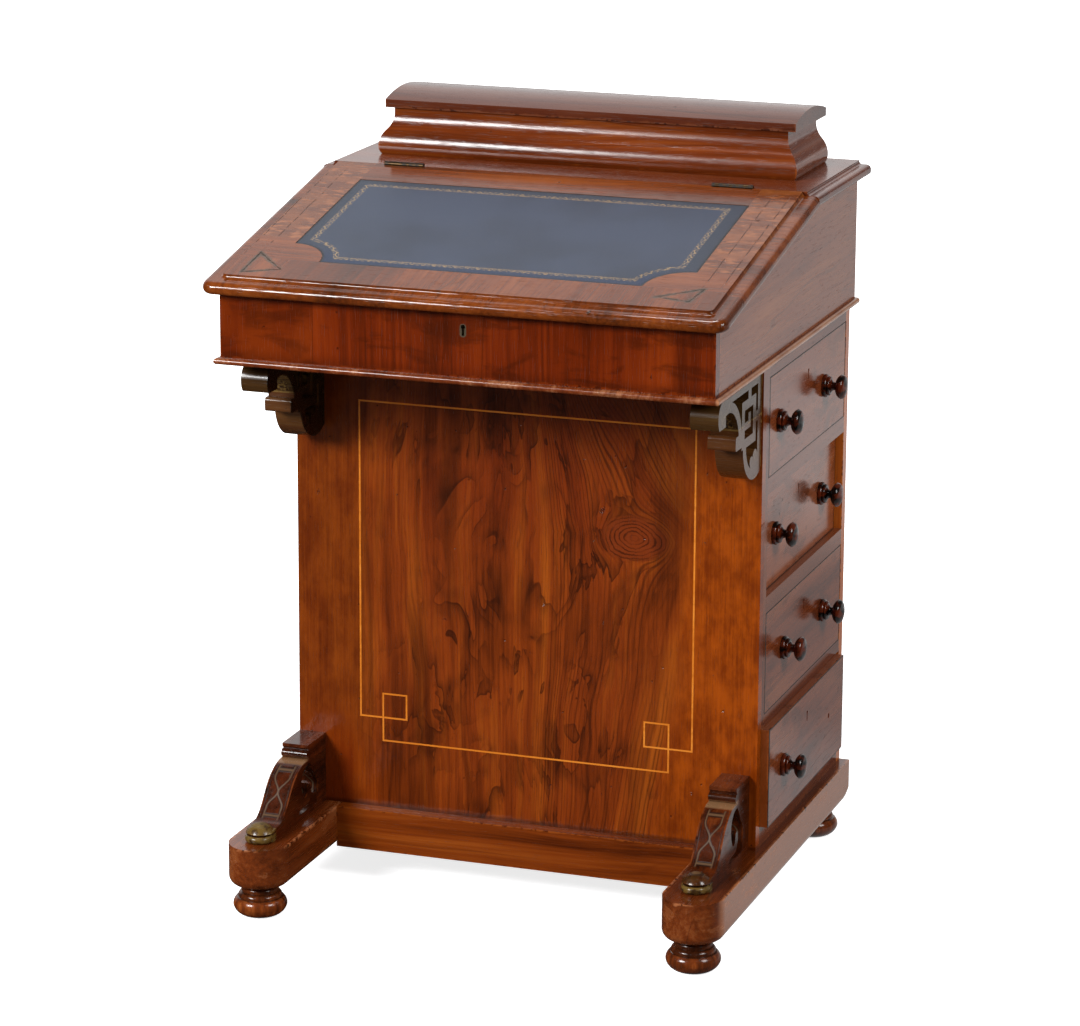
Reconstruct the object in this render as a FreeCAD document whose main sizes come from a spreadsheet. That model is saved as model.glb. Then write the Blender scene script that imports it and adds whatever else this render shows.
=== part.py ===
import FreeCAD, Part
import math
import os
from types import SimpleNamespace
import Sketcher

# A Victorian walnut davenport: a small sloping desk case that overhangs a pedestal with four
# drawers on its right side and four sham ones on its left. The pedestal stands on two sledge
# runners with bun feet; carved brackets carry the case, and an ogee stationery box sits on top.
# Millimetres, +X towards the real drawers, +Y to the back, +Z up, origin on the floor.

doc = FreeCAD.newDocument("davenport")

SIZES = {
    # overall, from the floor up
    "foot_height": 34.2,
    "runner_height": 45.8,
    "pedestal_height": 526.2,
    "case_height": 144.8,
    "board_thickness": 15.0,
    # desk case
    "case_width": 530.0,
    "case_depth": 526.8,
    "case_wall": 12.0,
    "case_front_thickness": 14.0,
    "case_bottom_thickness": 6.8,
    # pedestal
    "pedestal_side_inset": 5.0,
    "pedestal_setback": 189.4,
    "pedestal_back_inset": 1.4,
    "panel_thickness": 12.0,
    "stile_depth": 18.0,
    "front_stile_width": 10.6,
    "rear_stile_width": 13.9,
    "bottom_thickness": 9.0,
    # drawer openings, named from the top down
    "top_rail": 17.2,
    "opening_1": 108.0,
    "rail_1": 17.5,
    "opening_2": 111.0,
    "rail_2": 17.5,
    "opening_3": 111.0,
    "rail_3": 13.5,
    "opening_4": 108.5,
    "bottom_rail": 22.0,
    "drawer_runner_height": 10.0,
    "drawer_runner_width": 23.0,
    # drawers
    "drawer_gap_behind": 24.0,
    "drawer_gap_below": 0.3,
    "drawer_gap_above": 0.5,
    "drawer_gap_near": 0.5,
    "drawer_gap_far": 2.6,
    "drawer_4_gap": 1.8,
    "drawer_front_thickness": 16.0,
    "drawer_wall": 8.0,
    "drawer_bottom": 5.0,
    "drawer_drop": 14.0,
    "drawer_2_recess": 8.5,
    "drawer_4_stands_out": 9.0,
    # knobs, keyholes and locks
    "knob_length": 26.0,
    "knob_head_radius": 13.4,
    "knob_ring_radius": 12.6,
    "knob_neck_radius": 4.2,
    "knob_spigot_radius": 5.0,
    "knob_spigot_length": 11.0,
    "knob_near_1": 37.5,
    "knob_far_1": 84.9,
    "knob_near_2": 55.5,
    "knob_far_2": 61.9,
    "knob_near_3": 67.5,
    "knob_far_3": 75.9,
    "knob_near_4": 54.9,
    "knob_far_4": 58.5,
    "sham_knob_inset": 59.0,
    "spigot_clearance": 0.1,
    "lost_knob_hole_radius": 3.0,
    "keyhole_radius": 2.4,
    "keyhole_slot": 2.6,
    "keyhole_drop": 9.0,
    "keyhole_rise": 30.0,
    "lock_width": 50.0,
    "lock_height": 30.0,
    "lock_thickness": 8.0,
    "lock_clearance": 0.1,
    # sham drawers on the left side
    "sham_thickness": 3.5,
    "sham_line": 0.8,
    # boxwood stringing let into the front panel
    "string_width": 1.9,
    "string_depth": 0.8,
    "string_frame_inset": 72.0,
    "string_inner_inset": 98.0,
    "string_square_inset": 125.0,
    "string_top_drop": 73.2,
    "string_bottom_rise": 76.0,
    "string_side_rise": 102.0,
    "string_square_rise": 129.0,
    # sledge runners, plinth rails and bun feet
    "runner_left_outset": 17.3,
    "runner_right_outset": 12.0,
    "runner_width": 66.0,
    "runner_front_inset": 5.6,
    "runner_rear_inset": 2.4,
    "runner_heel": 14.0,
    "runner_edge": 10.0,
    "plinth_setback": 174.1,
    "plinth_thickness": 20.0,
    "foot_radius": 28.6,
    "foot_ring_radius": 23.4,
    "foot_neck_radius": 18.2,
    "foot_inset": 33.0,
    # scroll brackets on the runners
    "scroll_width": 30.0,
    "scroll_left_height": 77.5,
    "scroll_right_height": 82.5,
    "scroll_left_setback": 22.4,
    "scroll_right_setback": 33.0,
    "scroll_left_inset": 0.3,
    "scroll_right_inset": 8.0,
    "toe_radius": 15.3,
    # pierced fret brackets under the case
    "fret_width": 30.0,
    "fret_inset": 2.0,
    "fret_front_inset": 37.4,
    "fret_left_height": 109.2,
    "fret_right_height": 114.2,
    "fret_bar": 10.0,
    "fret_head": 4.4,
    "fret_flange": 5.0,
    "fret_flange_inset": 21.4,
    # base moulding of the case
    "moulding_fillet": 2.4,
    "bead_radius": 3.4,
    # writing lid and the fixed board behind it
    "lid_slope": 11.45,
    "board_depth": 209.9,
    "lid_thickness": 17.0,
    "lid_overhang": 18.6,
    "lid_side_overhang": 15.0,
    "lid_step": 4.2,
    "lid_cove": 3.4,
    "lid_moulding_width": 18.6,
    "board_moulding_width": 13.5,
    "lid_corner_radius": 14.0,
    "lid_inner_corner": 6.0,
    "nose_top_radius": 7.4,
    "nose_under_radius": 4.4,
    "lid_seat_gap": 0.3,
    "lid_joint_gap": 0.6,
    "leather_side_margin": 62.7,
    "leather_back_margin": 48.4,
    "leather_front_margin": 67.2,
    "leather_scallop": 44.0,
    "leather_thickness": 0.6,
    "leather_recess": 0.8,
    "leather_gap": 0.3,
    # hinges of the writing lid
    "lid_hinge_spacing": 370.0,
    "lid_hinge_length": 45.0,
    "knuckle_radius": 2.8,
    "knuckle_rise": 0.6,
    "leaf_height": 13.0,
    "leaf_thickness": 1.2,
    "hinge_pin_radius": 1.2,
    "hinge_play": 0.05,
    "knuckle_gap": 0.2,
    # stationery box
    "box_side_inset": 41.8,
    "box_back_inset": 26.8,
    "box_depth": 124.8,
    "box_height": 50.0,
    "box_neck_wall": 8.0,
    "box_back_drop": 1.6,
    "ogee_depth": 14.0,
    "ogee_low": 9.0,
    "ogee_tuck": 3.0,
    "ogee_high": 44.0,
    "box_lid_end_inset": 4.7,
    "box_lid_depth": 120.5,
    "box_lid_rear_overhang": 5.7,
    "box_lid_edge": 8.8,
    "box_lid_rise": 8.9,
    "box_lid_gap": 0.4,
    "box_lid_hollow": 5.0,
    "box_hinge_spacing": 300.0,
    "box_hinge_length": 30.0,
    "box_knuckle_radius": 2.5,
}

sheet = doc.addObject("Spreadsheet::Sheet", "Sizes")
for row, (alias, number) in enumerate(SIZES.items(), start=1):
    sheet.set(f"A{row}", alias)
    sheet.set(f"B{row}", str(number))
    sheet.setAlias(f"B{row}", alias)
doc.recompute()


class Size:
    """A length worked out from the sheet: its value now, and the expression that keeps it."""

    def __init__(self, value, text):
        self.value = float(value)
        self.text = text

    def __add__(self, other):
        other = size(other)
        return Size(self.value + other.value, f"({self.text} + {other.text})")

    def __sub__(self, other):
        other = size(other)
        return Size(self.value - other.value, f"({self.text} - {other.text})")

    def __rsub__(self, other):
        return size(other) - self

    def __mul__(self, other):
        other = size(other)
        return Size(self.value * other.value, f"({self.text} * {other.text})")

    def __truediv__(self, other):
        other = size(other)
        return Size(self.value / other.value, f"({self.text} / {other.text})")

    def __neg__(self):
        return Size(-self.value, f"(0 - {self.text})")

    __radd__ = __add__
    __rmul__ = __mul__


def size(number):
    """A Size from a Size or a plain number."""
    return number if isinstance(number, Size) else Size(number, f"{number:g}")


def cosine(angle):
    return Size(math.cos(math.radians(angle.value)), f"cos({angle.text} * 1 deg)")


def tangent(angle):
    return Size(math.tan(math.radians(angle.value)), f"tan({angle.text} * 1 deg)")


S = SimpleNamespace(**{alias: Size(number, f"Sizes.{alias}") for alias, number in SIZES.items()})
zero = size(0)
nodes = []

# ---------------------------------------------------------------- where the main faces lie

front = (S.lid_overhang - S.case_depth) / 2
back = front + S.case_depth
case_half = S.case_width / 2
half = case_half - S.pedestal_side_inset
runner_top = S.foot_height + S.runner_height
pedestal_top = runner_top + S.pedestal_height
board_under = pedestal_top + S.case_height
board_top = board_under + S.board_thickness
panel_front = front + S.pedestal_setback
panel_back = panel_front + S.panel_thickness
pedestal_back = back - S.pedestal_back_inset
inner_back = pedestal_back - S.panel_thickness
runner_middles = {"left": S.runner_width / 2 - half - S.runner_left_outset,
                  "right": half + S.runner_right_outset - S.runner_width / 2}
hinge_y = back - S.board_depth
lid_half = case_half + S.lid_side_overhang
stile_back = half - S.stile_depth

# Drawer openings, top to bottom: (floor, ceiling). Rails and openings share out the height of
# the pedestal between them.
stack = ((S.top_rail, S.opening_1), (S.rail_1, S.opening_2), (S.rail_2, S.opening_3),
         (S.rail_3, S.opening_4))
share = S.pedestal_height / sum((rail + tall for rail, tall in stack), S.bottom_rail)
openings = []
floor = pedestal_top
for rail, tall in stack:
    ceiling = floor - rail * share
    floor = ceiling - tall * share
    openings.append((floor, ceiling))


def lid_underside(y):
    """Height of the closed lid's underside at a place y from front to back."""
    slant = tangent(S.lid_slope)
    return board_top - S.lid_thickness / cosine(S.lid_slope) - (hinge_y - y) * slant


# ---------------------------------------------------------------- helpers

def bind(thing, **properties):
    for name, length in properties.items():
        thing.setExpression(name, size(length).text)


def move(thing, x, y, z):
    for letter, length in zip("xyz", (x, y, z)):
        thing.setExpression(f"Placement.Base.{letter}", size(length).text)


def keep(thing, label):
    """Hand a finished piece over under the name of its node."""
    thing.Label = label
    nodes.append(thing)
    return thing


def box(name, x, y, z):
    """A board given by its two faces along each axis."""
    thing = doc.addObject("Part::Box", name)
    (x0, x1), (y0, y1), (z0, z1) = [[size(end) for end in pair] for pair in (x, y, z)]
    bind(thing, Length=x1 - x0, Width=y1 - y0, Height=z1 - z0)
    move(thing, x0, y0, z0)
    return thing


def rod(name, radius, length, x, y, z):
    """A round bar along +X from the place given."""
    thing = doc.addObject("Part::Cylinder", name)
    thing.Placement = FreeCAD.Placement(FreeCAD.Vector(), FreeCAD.Rotation(0, 90, 0))
    bind(thing, Radius=radius, Height=length)
    move(thing, x, y, z)
    return thing


def joined(name, parts):
    thing = doc.addObject("Part::MultiFuse", name)
    thing.Shapes = parts
    return thing


def grouped(name, parts):
    thing = doc.addObject("Part::Compound", name)
    thing.Links = parts
    return thing


def cut(name, base, tools):
    thing = doc.addObject("Part::Cut", name)
    thing.Base = base
    thing.Tool = tools[0] if len(tools) == 1 else joined(f"{name}_tools", tools)
    return thing


def new_body(name):
    return doc.addObject("PartDesign::Body", name)


def sketch_on(body, name, role):
    """An empty sketch on one of the body's own origin planes."""
    sketch = body.newObject("Sketcher::SketchObject", name)
    plane = [item for item in body.Origin.OriginFeatures if item.Role == role][0]
    sketch.AttachmentSupport = [(plane, "")]
    sketch.MapMode = "FlatFace"
    return sketch


def pin_point(sketch, edge, end, x, y):
    """Tie one end of an edge to its place, measured from the sketch's origin."""
    for kind, length, axis in (("DistanceX", x, -2), ("DistanceY", y, -1)):
        if length.text == "0":
            sketch.addConstraint(Sketcher.Constraint("PointOnObject", edge, end, axis))
        elif length.value >= 0:
            tie = sketch.addConstraint(Sketcher.Constraint(kind, -1, 1, edge, end, length.value))
            sketch.setExpression(f"Constraints[{tie}]", length.text)
        else:
            tie = sketch.addConstraint(Sketcher.Constraint(kind, edge, end, -1, 1, -length.value))
            sketch.setExpression(f"Constraints[{tie}]", (-length).text)


def arc_between(start, end, radius, side):
    """The short arc from start to end; side +1 has its centre on the left of the way."""
    middle = (start + end) * 0.5
    way = end - start
    height = math.sqrt(max(radius * radius - way.Length ** 2 / 4, 0.0))
    left = FreeCAD.Vector(-way.y, way.x, 0) / way.Length
    centre = middle + left * height * side
    up = FreeCAD.Vector(0, 0, 1)
    first, last = (start, end) if side > 0 else (end, start)
    angles = [math.atan2(point.y - centre.y, point.x - centre.x) for point in (first, last)]
    return Part.ArcOfCircle(Part.Circle(centre, up, radius), angles[0], angles[1])


def outline(sketch, corners):
    """A closed outline. Each corner is (x, y) or (x, y, radius, side): the latter is reached
    from the corner before it by an arc."""
    corners = [tuple(size(part) for part in corner[:3]) + tuple(corner[3:]) for corner in corners]
    count = len(corners)
    spots = [FreeCAD.Vector(corner[0].value, corner[1].value, 0) for corner in corners]
    ends = []
    for index in range(count):
        start, end = spots[index - 1], spots[index]
        corner = corners[index]
        if len(corner) == 2:
            sketch.addGeometry(Part.LineSegment(start, end), False)
            ends.append((1, 2))
        else:
            sketch.addGeometry(arc_between(start, end, corner[2].value, corner[3]), False)
            ends.append((1, 2) if corner[3] > 0 else (2, 1))
    for index in range(count):
        after = (index + 1) % count
        sketch.addConstraint(
            Sketcher.Constraint("Coincident", index, ends[index][1], after, ends[after][0]))
        pin_point(sketch, index, ends[index][1], corners[index][0], corners[index][1])
        if len(corners[index]) > 2:
            radius = corners[index][2]
            tie = sketch.addConstraint(Sketcher.Constraint("Radius", index, radius.value))
            sketch.setExpression(f"Constraints[{tie}]", radius.text)


def pad(body, sketch, length, centred=False, reverse=False):
    feature = body.newObject("PartDesign::Pad", f"{sketch.Name}_pad")
    feature.Profile = sketch
    feature.Midplane = centred
    feature.Reversed = reverse
    bind(feature, Length=length)
    doc.recompute()
    return feature


def pocket(body, sketch, length, centred=False, reverse=False):
    """Cut a sketch out of the body, and make sure that something was cut."""
    before = body.Shape.Volume
    feature = body.newObject("PartDesign::Pocket", f"{sketch.Name}_pocket")
    feature.Profile = sketch
    feature.Midplane = centred
    feature.Reversed = reverse
    bind(feature, Length=length)
    doc.recompute()
    if body.Shape.Volume > before - 1e-3:
        raise ValueError(f"{sketch.Name} cuts nothing")
    return feature


def round_edges(body, base, radius, chosen):
    """Round the edges of a feature that a test picks by their middle and their length."""
    picked = []
    for number, edge in enumerate(base.Shape.Edges, start=1):
        middle = edge.valueAt((edge.FirstParameter + edge.LastParameter) / 2)
        if chosen(middle, edge):
            picked.append(f"Edge{number}")
    feature = body.newObject("PartDesign::Fillet", f"{base.Name}_round_{len(body.Group)}")
    feature.Base = (base, picked)
    bind(feature, Radius=radius)
    doc.recompute()
    return feature


def near(first, second, slack=0.05):
    return abs(first - second) < slack


# ---------------------------------------------------------------- bun feet

def bun_foot(label, x, y):
    """A turned foot: collar, two rounded rings and a flattened bun, with a flat sole."""
    body = new_body(label)
    sketch = sketch_on(body, f"{label}_profile", "XZ_Plane")
    high = S.foot_height
    wide = S.foot_radius
    ring = S.foot_ring_radius
    neck = S.foot_neck_radius
    bun_top = high * 0.58
    ring_top = high * 0.74
    step = (ring - neck) / 4
    outline(sketch, [
        (zero, zero),
        (wide * 0.6, zero),
        (wide, bun_top * 0.52, wide * 0.5, 1),
        (ring + step, bun_top, high * 0.3, 1),
        (ring, bun_top * 1.02),
        (ring - step * 2, ring_top, high * 0.135, 1),
        (neck + step, ring_top * 1.015),
        (neck, high * 0.93, high * 0.13, 1),
        (neck, high),
        (zero, high),
    ])
    turned = body.newObject("PartDesign::Revolution", f"{label}_turned")
    turned.Profile = sketch
    turned.ReferenceAxis = (sketch, ["V_Axis"])
    turned.Angle = 360
    move(body, x, y, zero)
    keep(body, label)


front_foot_y = front + S.runner_front_inset + S.foot_inset
rear_foot_y = back - S.runner_rear_inset - S.foot_inset
for side, middle_x in runner_middles.items():
    bun_foot(f"bun_foot_front_{side}", middle_x, front_foot_y)
    bun_foot(f"bun_foot_rear_{side}", middle_x, rear_foot_y)

# ---------------------------------------------------------------- sledge runners

def sledge_runner(label, x):
    """A long flat bearer, round at its front end and eased at the lower corner of its heel."""
    body = new_body(label)
    plan = sketch_on(body, f"{label}_plan", "XY_Plane")
    radius = S.runner_width / 2
    start = front + S.runner_front_inset
    end = back - S.runner_rear_inset
    outline(plan, [
        (zero, start, radius, 1),
        (radius, start + radius, radius, 1),
        (radius, end),
        (-radius, end),
        (-radius, start + radius),
    ])
    bearer = pad(body, plan, S.runner_height)
    round_edges(body, bearer, S.runner_edge, lambda middle, edge:
                near(middle.z, 0) and middle.y < end.value - 1)
    heel = sketch_on(body, f"{label}_heel", "YZ_Plane")
    outline(heel, [(end - S.runner_heel * 2, zero), (end + 1, zero), (end + 1, S.runner_heel)])
    pocket(body, heel, S.runner_width + 2, centred=True)
    move(body, x, zero, S.foot_height)
    keep(body, label)


for side, middle_x in runner_middles.items():
    sledge_runner(f"runner_{side}", middle_x)

# The plinth rails tie the two runners together at the front and the back of the pedestal.
plinth_front = front + S.plinth_setback
rail_span = (runner_middles["left"] + S.runner_width / 2,
             runner_middles["right"] - S.runner_width / 2)
rail_height = (S.foot_height, runner_top)
keep(box("plinth_rail_front", rail_span, (plinth_front, plinth_front + S.plinth_thickness),
         rail_height), "plinth_rail_front")
keep(box("plinth_rail_back", rail_span, (pedestal_back - S.plinth_thickness, pedestal_back),
         rail_height), "plinth_rail_back")

# ---------------------------------------------------------------- pedestal

# The front panel carries boxwood stringing: an upright frame whose lower corners overlap two
# small squares. Each string lies in a groove of its own width.
string_half = S.string_width / 2


def upright(name, x, low, high, depth):
    return box(name, (x - string_half, x + string_half), (panel_front, panel_front + depth),
               (low - string_half, high + string_half))


def level(name, z, left, right, depth):
    return box(name, (left + string_half, right - string_half), (panel_front, panel_front + depth),
               (z - string_half, z + string_half))


def stringing(name, depth):
    frame = half - S.string_frame_inset
    inner = half - S.string_inner_inset
    square = half - S.string_square_inset
    top = pedestal_top - S.string_top_drop
    low = runner_top + S.string_bottom_rise
    foot = runner_top + S.string_side_rise
    square_top = runner_top + S.string_square_rise
    strings = [level(f"{name}_top", top, -frame, frame, depth),
               level(f"{name}_bottom", low, -inner, inner, depth)]
    for hand, sign in (("left", -1), ("right", 1)):
        def across(part, z, first, last):
            ends = (first * sign, last * sign) if sign > 0 else (last * sign, first * sign)
            return level(f"{name}_{part}_{hand}", z, ends[0], ends[1], depth)
        strings += [
            upright(f"{name}_side_{hand}", frame * sign, foot, top, depth),
            upright(f"{name}_drop_{hand}", inner * sign, low, square_top, depth),
            upright(f"{name}_square_{hand}", square * sign, foot, square_top, depth),
            across("foot", foot, square, inner),
            across("reach", foot, inner, frame),
            across("cap", square_top, square, inner),
        ]
    return joined(name, strings)


panel = box("front_panel_board", (-half, half), (panel_front, panel_back),
            (runner_top, pedestal_top))
keep(cut("front_panel", panel, [stringing("string_grooves", S.string_depth)]), "front_panel")
keep(stringing("boxwood_stringing", S.string_depth), "boxwood_stringing")

left_inner = S.panel_thickness - half
keep(box("back_panel", (left_inner, stile_back), (inner_back, pedestal_back),
         (runner_top, pedestal_top)), "back_panel")

# The real drawers stand between a front stile and a rear stile on the right. The front stile
# stops above the lowest opening, whose drawer has lost its guide and sits further forward.
stile_face = panel_back + S.front_stile_width
rear_stile_front = pedestal_back - S.rear_stile_width
keep(box("front_stile", (stile_back, half), (panel_back, stile_face),
         (openings[3][1], pedestal_top)), "front_stile")
keep(box("rear_stile", (stile_back, half), (rear_stile_front, pedestal_back),
         (runner_top, pedestal_top)), "rear_stile")

rails = [box("top_rail", (stile_back, half), (stile_face, rear_stile_front),
             (openings[0][1], pedestal_top))]
for number in (0, 1, 2):
    rails.append(box(f"drawer_rail_{number + 1}", (stile_back, half),
                     (stile_face, rear_stile_front),
                     (openings[number + 1][1], openings[number][0])))
rails.append(box("bottom_rail", (stile_back, half), (panel_back, rear_stile_front),
                 (runner_top, openings[3][0])))
keep(grouped("drawer_rails", rails), "drawer_rails")

keep(box("pedestal_bottom", (left_inner, stile_back), (panel_back, inner_back),
         (runner_top, runner_top + S.bottom_thickness)), "pedestal_bottom")

# Two bearers under each drawer, one along the front panel and one along the back.
bearers = []
for number, (floor, _) in enumerate(openings, start=1):
    for place, ends in (("front", (panel_back, panel_back + S.drawer_runner_width)),
                        ("back", (inner_back - S.drawer_runner_width, inner_back))):
        bearers.append(box(f"drawer_bearer_{number}_{place}", (left_inner, stile_back), ends,
                           (floor - S.drawer_runner_height, floor)))
keep(grouped("drawer_bearers", bearers), "drawer_bearers")

# ---------------------------------------------------------------- turned knobs

def knob_pattern():
    """A turned knob along +X: spigot, ringed base, cove, thin neck and mushroom head."""
    body = new_body("knob_pattern")
    sketch = sketch_on(body, "knob_profile", "XY_Plane")
    ring = S.knob_ring_radius
    neck = S.knob_neck_radius
    head = S.knob_head_radius
    head_back = S.knob_length - 12.2
    outline(sketch, [
        (-S.knob_spigot_length, zero),
        (-S.knob_spigot_length, S.knob_spigot_radius),
        (zero, S.knob_spigot_radius),
        (zero, ring - 0.8),
        (size(4.4), ring - 0.8, 3.4, -1),
        (size(5.0), ring - 2.6),
        (size(8.0), ring - 3.4, 1.8, -1),
        (size(12.6), neck, 4.9, 1),
        (head_back, neck),
        (head_back + 6.0, head, 9.5, -1),
        (S.knob_length - 1.6, head - 4.6, 5.6, -1),
        (S.knob_length, zero, 26.0, -1),
    ])
    turned = body.newObject("PartDesign::Revolution", "knob_turned")
    turned.Profile = sketch
    turned.ReferenceAxis = (sketch, ["H_Axis"])
    turned.Angle = 360
    doc.recompute()
    return body.Shape


knob_shape = knob_pattern()


def knobs(label, places, outward=0):
    """Copies of the knob at the places given as (x, y, z), turned about Z by an angle."""
    thing = doc.addObject("Part::Feature", label)
    copies = []
    for place in places:
        spot = FreeCAD.Vector(*[coordinate.value for coordinate in place])
        turn = FreeCAD.Rotation(FreeCAD.Vector(0, 0, 1), outward)
        copies.append(knob_shape.transformed(FreeCAD.Placement(spot, turn).toMatrix(), True))
    thing.Shape = Part.makeCompound(copies)
    keep(thing, label)


def keyhole(name, x, y, z, depth):
    """A round eye and a slot under it, cut in from the face at x towards -X."""
    eye = rod(f"{name}_eye", S.keyhole_radius, depth, x - depth, y, z)
    slot = box(f"{name}_slot", (x - depth, x),
               (y - S.keyhole_slot / 2, y + S.keyhole_slot / 2), (z - S.keyhole_drop, z))
    return [eye, slot]


# ---------------------------------------------------------------- drawers

stile_y = stile_face + S.drawer_gap_near
lowest_y = panel_back + S.drawer_4_gap
drawer_width = rear_stile_front - S.drawer_gap_far - stile_y
drawer_length = half - left_inner - S.drawer_gap_behind
# Each drawer's knobs were set by eye, and the lowest drawer has lost its far one.
drawer_sets = (
    (zero, stile_y, S.knob_near_1, S.knob_far_1, False),
    (-S.drawer_2_recess, stile_y, S.knob_near_2, S.knob_far_2, False),
    (zero, stile_y, S.knob_near_3, S.knob_far_3, False),
    (S.drawer_4_stands_out, lowest_y, S.knob_near_4, S.knob_far_4, True),
)


def drawer(name, opening, shift, y0, near_knob, far_knob, far_knob_lost):
    """A dovetailed drawer that runs across the pedestal, drawn at its place at rest."""
    floor, ceiling = opening
    low = floor + S.drawer_gap_below
    high = ceiling - S.drawer_gap_above
    y1 = y0 + drawer_width
    face = half + shift
    inside = face - S.drawer_front_thickness
    end = face - drawer_length
    middle = (y0 + y1) / 2
    knob_z = (low + high) / 2
    board = box(f"{name}_front_board", (inside, face), (y0, y1), (low, high))
    lock_z = knob_z + S.keyhole_rise
    lock_top = lock_z + S.lock_height / 3
    lock_low = lock_top - S.lock_height
    lock_face = inside + S.lock_thickness
    slack = S.lock_clearance
    mortise = box(f"{name}_mortise", (inside - 1, lock_face + slack),
                  (middle - S.lock_width / 2 - slack, middle + S.lock_width / 2 + slack),
                  (lock_low - slack, lock_top + slack))
    tools = [mortise] + keyhole(f"{name}_key", face + 1, middle, lock_z,
                                S.drawer_front_thickness)
    knob_places = []
    for place, spot, lost in (("near", y0 + near_knob, False),
                              ("far", y1 - far_knob, far_knob_lost)):
        bore = S.knob_spigot_radius + S.spigot_clearance
        if lost:
            bore = S.lost_knob_hole_radius
        else:
            knob_places.append((face, spot, knob_z))
        tools.append(rod(f"{name}_socket_{place}", bore, S.drawer_front_thickness + 2,
                         inside - 1, spot, knob_z))
    keep(cut(f"{name}_front", board, tools), f"{name}_front")
    knobs(f"{name}_knobs", knob_places)
    keep(box(f"{name}_lock", (inside, lock_face),
             (middle - S.lock_width / 2, middle + S.lock_width / 2), (lock_low, lock_top)),
         f"{name}_lock")
    top = high - S.drawer_drop
    wall = S.drawer_wall
    floor_low = low + S.drawer_bottom
    keep(grouped(f"{name}_box", [
        box(f"{name}_side_front", (end, inside), (y0 + 1, y0 + 1 + wall), (low, top)),
        box(f"{name}_side_back", (end, inside), (y1 - 1 - wall, y1 - 1), (low, top)),
        box(f"{name}_back", (end, end + wall), (y0 + 1 + wall, y1 - 1 - wall), (floor_low, top)),
        box(f"{name}_bottom", (end, inside), (y0 + 1 + wall, y1 - 1 - wall), (low, floor_low)),
    ]), f"{name}_box")


for number, (opening, settings) in enumerate(zip(openings, drawer_sets), start=1):
    drawer(f"drawer_{number}", opening, *settings)

# ---------------------------------------------------------------- sham drawers, left side

side_board = box("left_side_board", (-half, left_inner), (panel_back, pedestal_back),
                 (runner_top, pedestal_top))
recesses, shams, sham_knobs = [], [], []
sham_y = (stile_face, rear_stile_front)
sham_length = rear_stile_front - stile_face
for number, (floor, ceiling) in enumerate(openings, start=1):
    recesses.append(box(f"sham_recess_{number}", (-half - 1, S.sham_thickness - half), sham_y,
                        (floor, ceiling)))
    line = S.sham_line
    shams.append(box(f"sham_front_{number}", (-half, S.sham_thickness - half),
                     (sham_y[0] + line, sham_y[1] - line), (floor + line, ceiling - line)))
    for sign in (-1, 1):
        spot = (sham_y[0] + sham_y[1]) / 2 + (sham_length / 2 - S.sham_knob_inset) * sign
        sham_knobs.append((-half, spot, (floor + ceiling) / 2))
sockets = [rod(f"sham_socket_{index}", S.knob_spigot_radius + S.spigot_clearance,
               S.panel_thickness + 2, -half - 1, place[1], place[2])
           for index, place in enumerate(sham_knobs)]
keep(cut("left_side", side_board, recesses + sockets), "left_side")
face_sockets = [rod(f"sham_hole_{index}", S.knob_spigot_radius + S.spigot_clearance,
                    S.sham_thickness + 2, -half - 1, place[1], place[2])
                for index, place in enumerate(sham_knobs)]
keep(cut("sham_drawer_fronts", joined("sham_boards", shams), face_sockets),
     "sham_drawer_fronts")
knobs("sham_knobs", sham_knobs, outward=180)

# ---------------------------------------------------------------- brackets

def curve(points):
    spline = Part.BSplineCurve()
    spline.interpolate(points)
    return spline


def extruded(outer, holes, width):
    face = Part.Face([outer] + holes) if holes else Part.Face(outer)
    face.validate()
    return face.extrude(FreeCAD.Vector(width, 0, 0))


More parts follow.
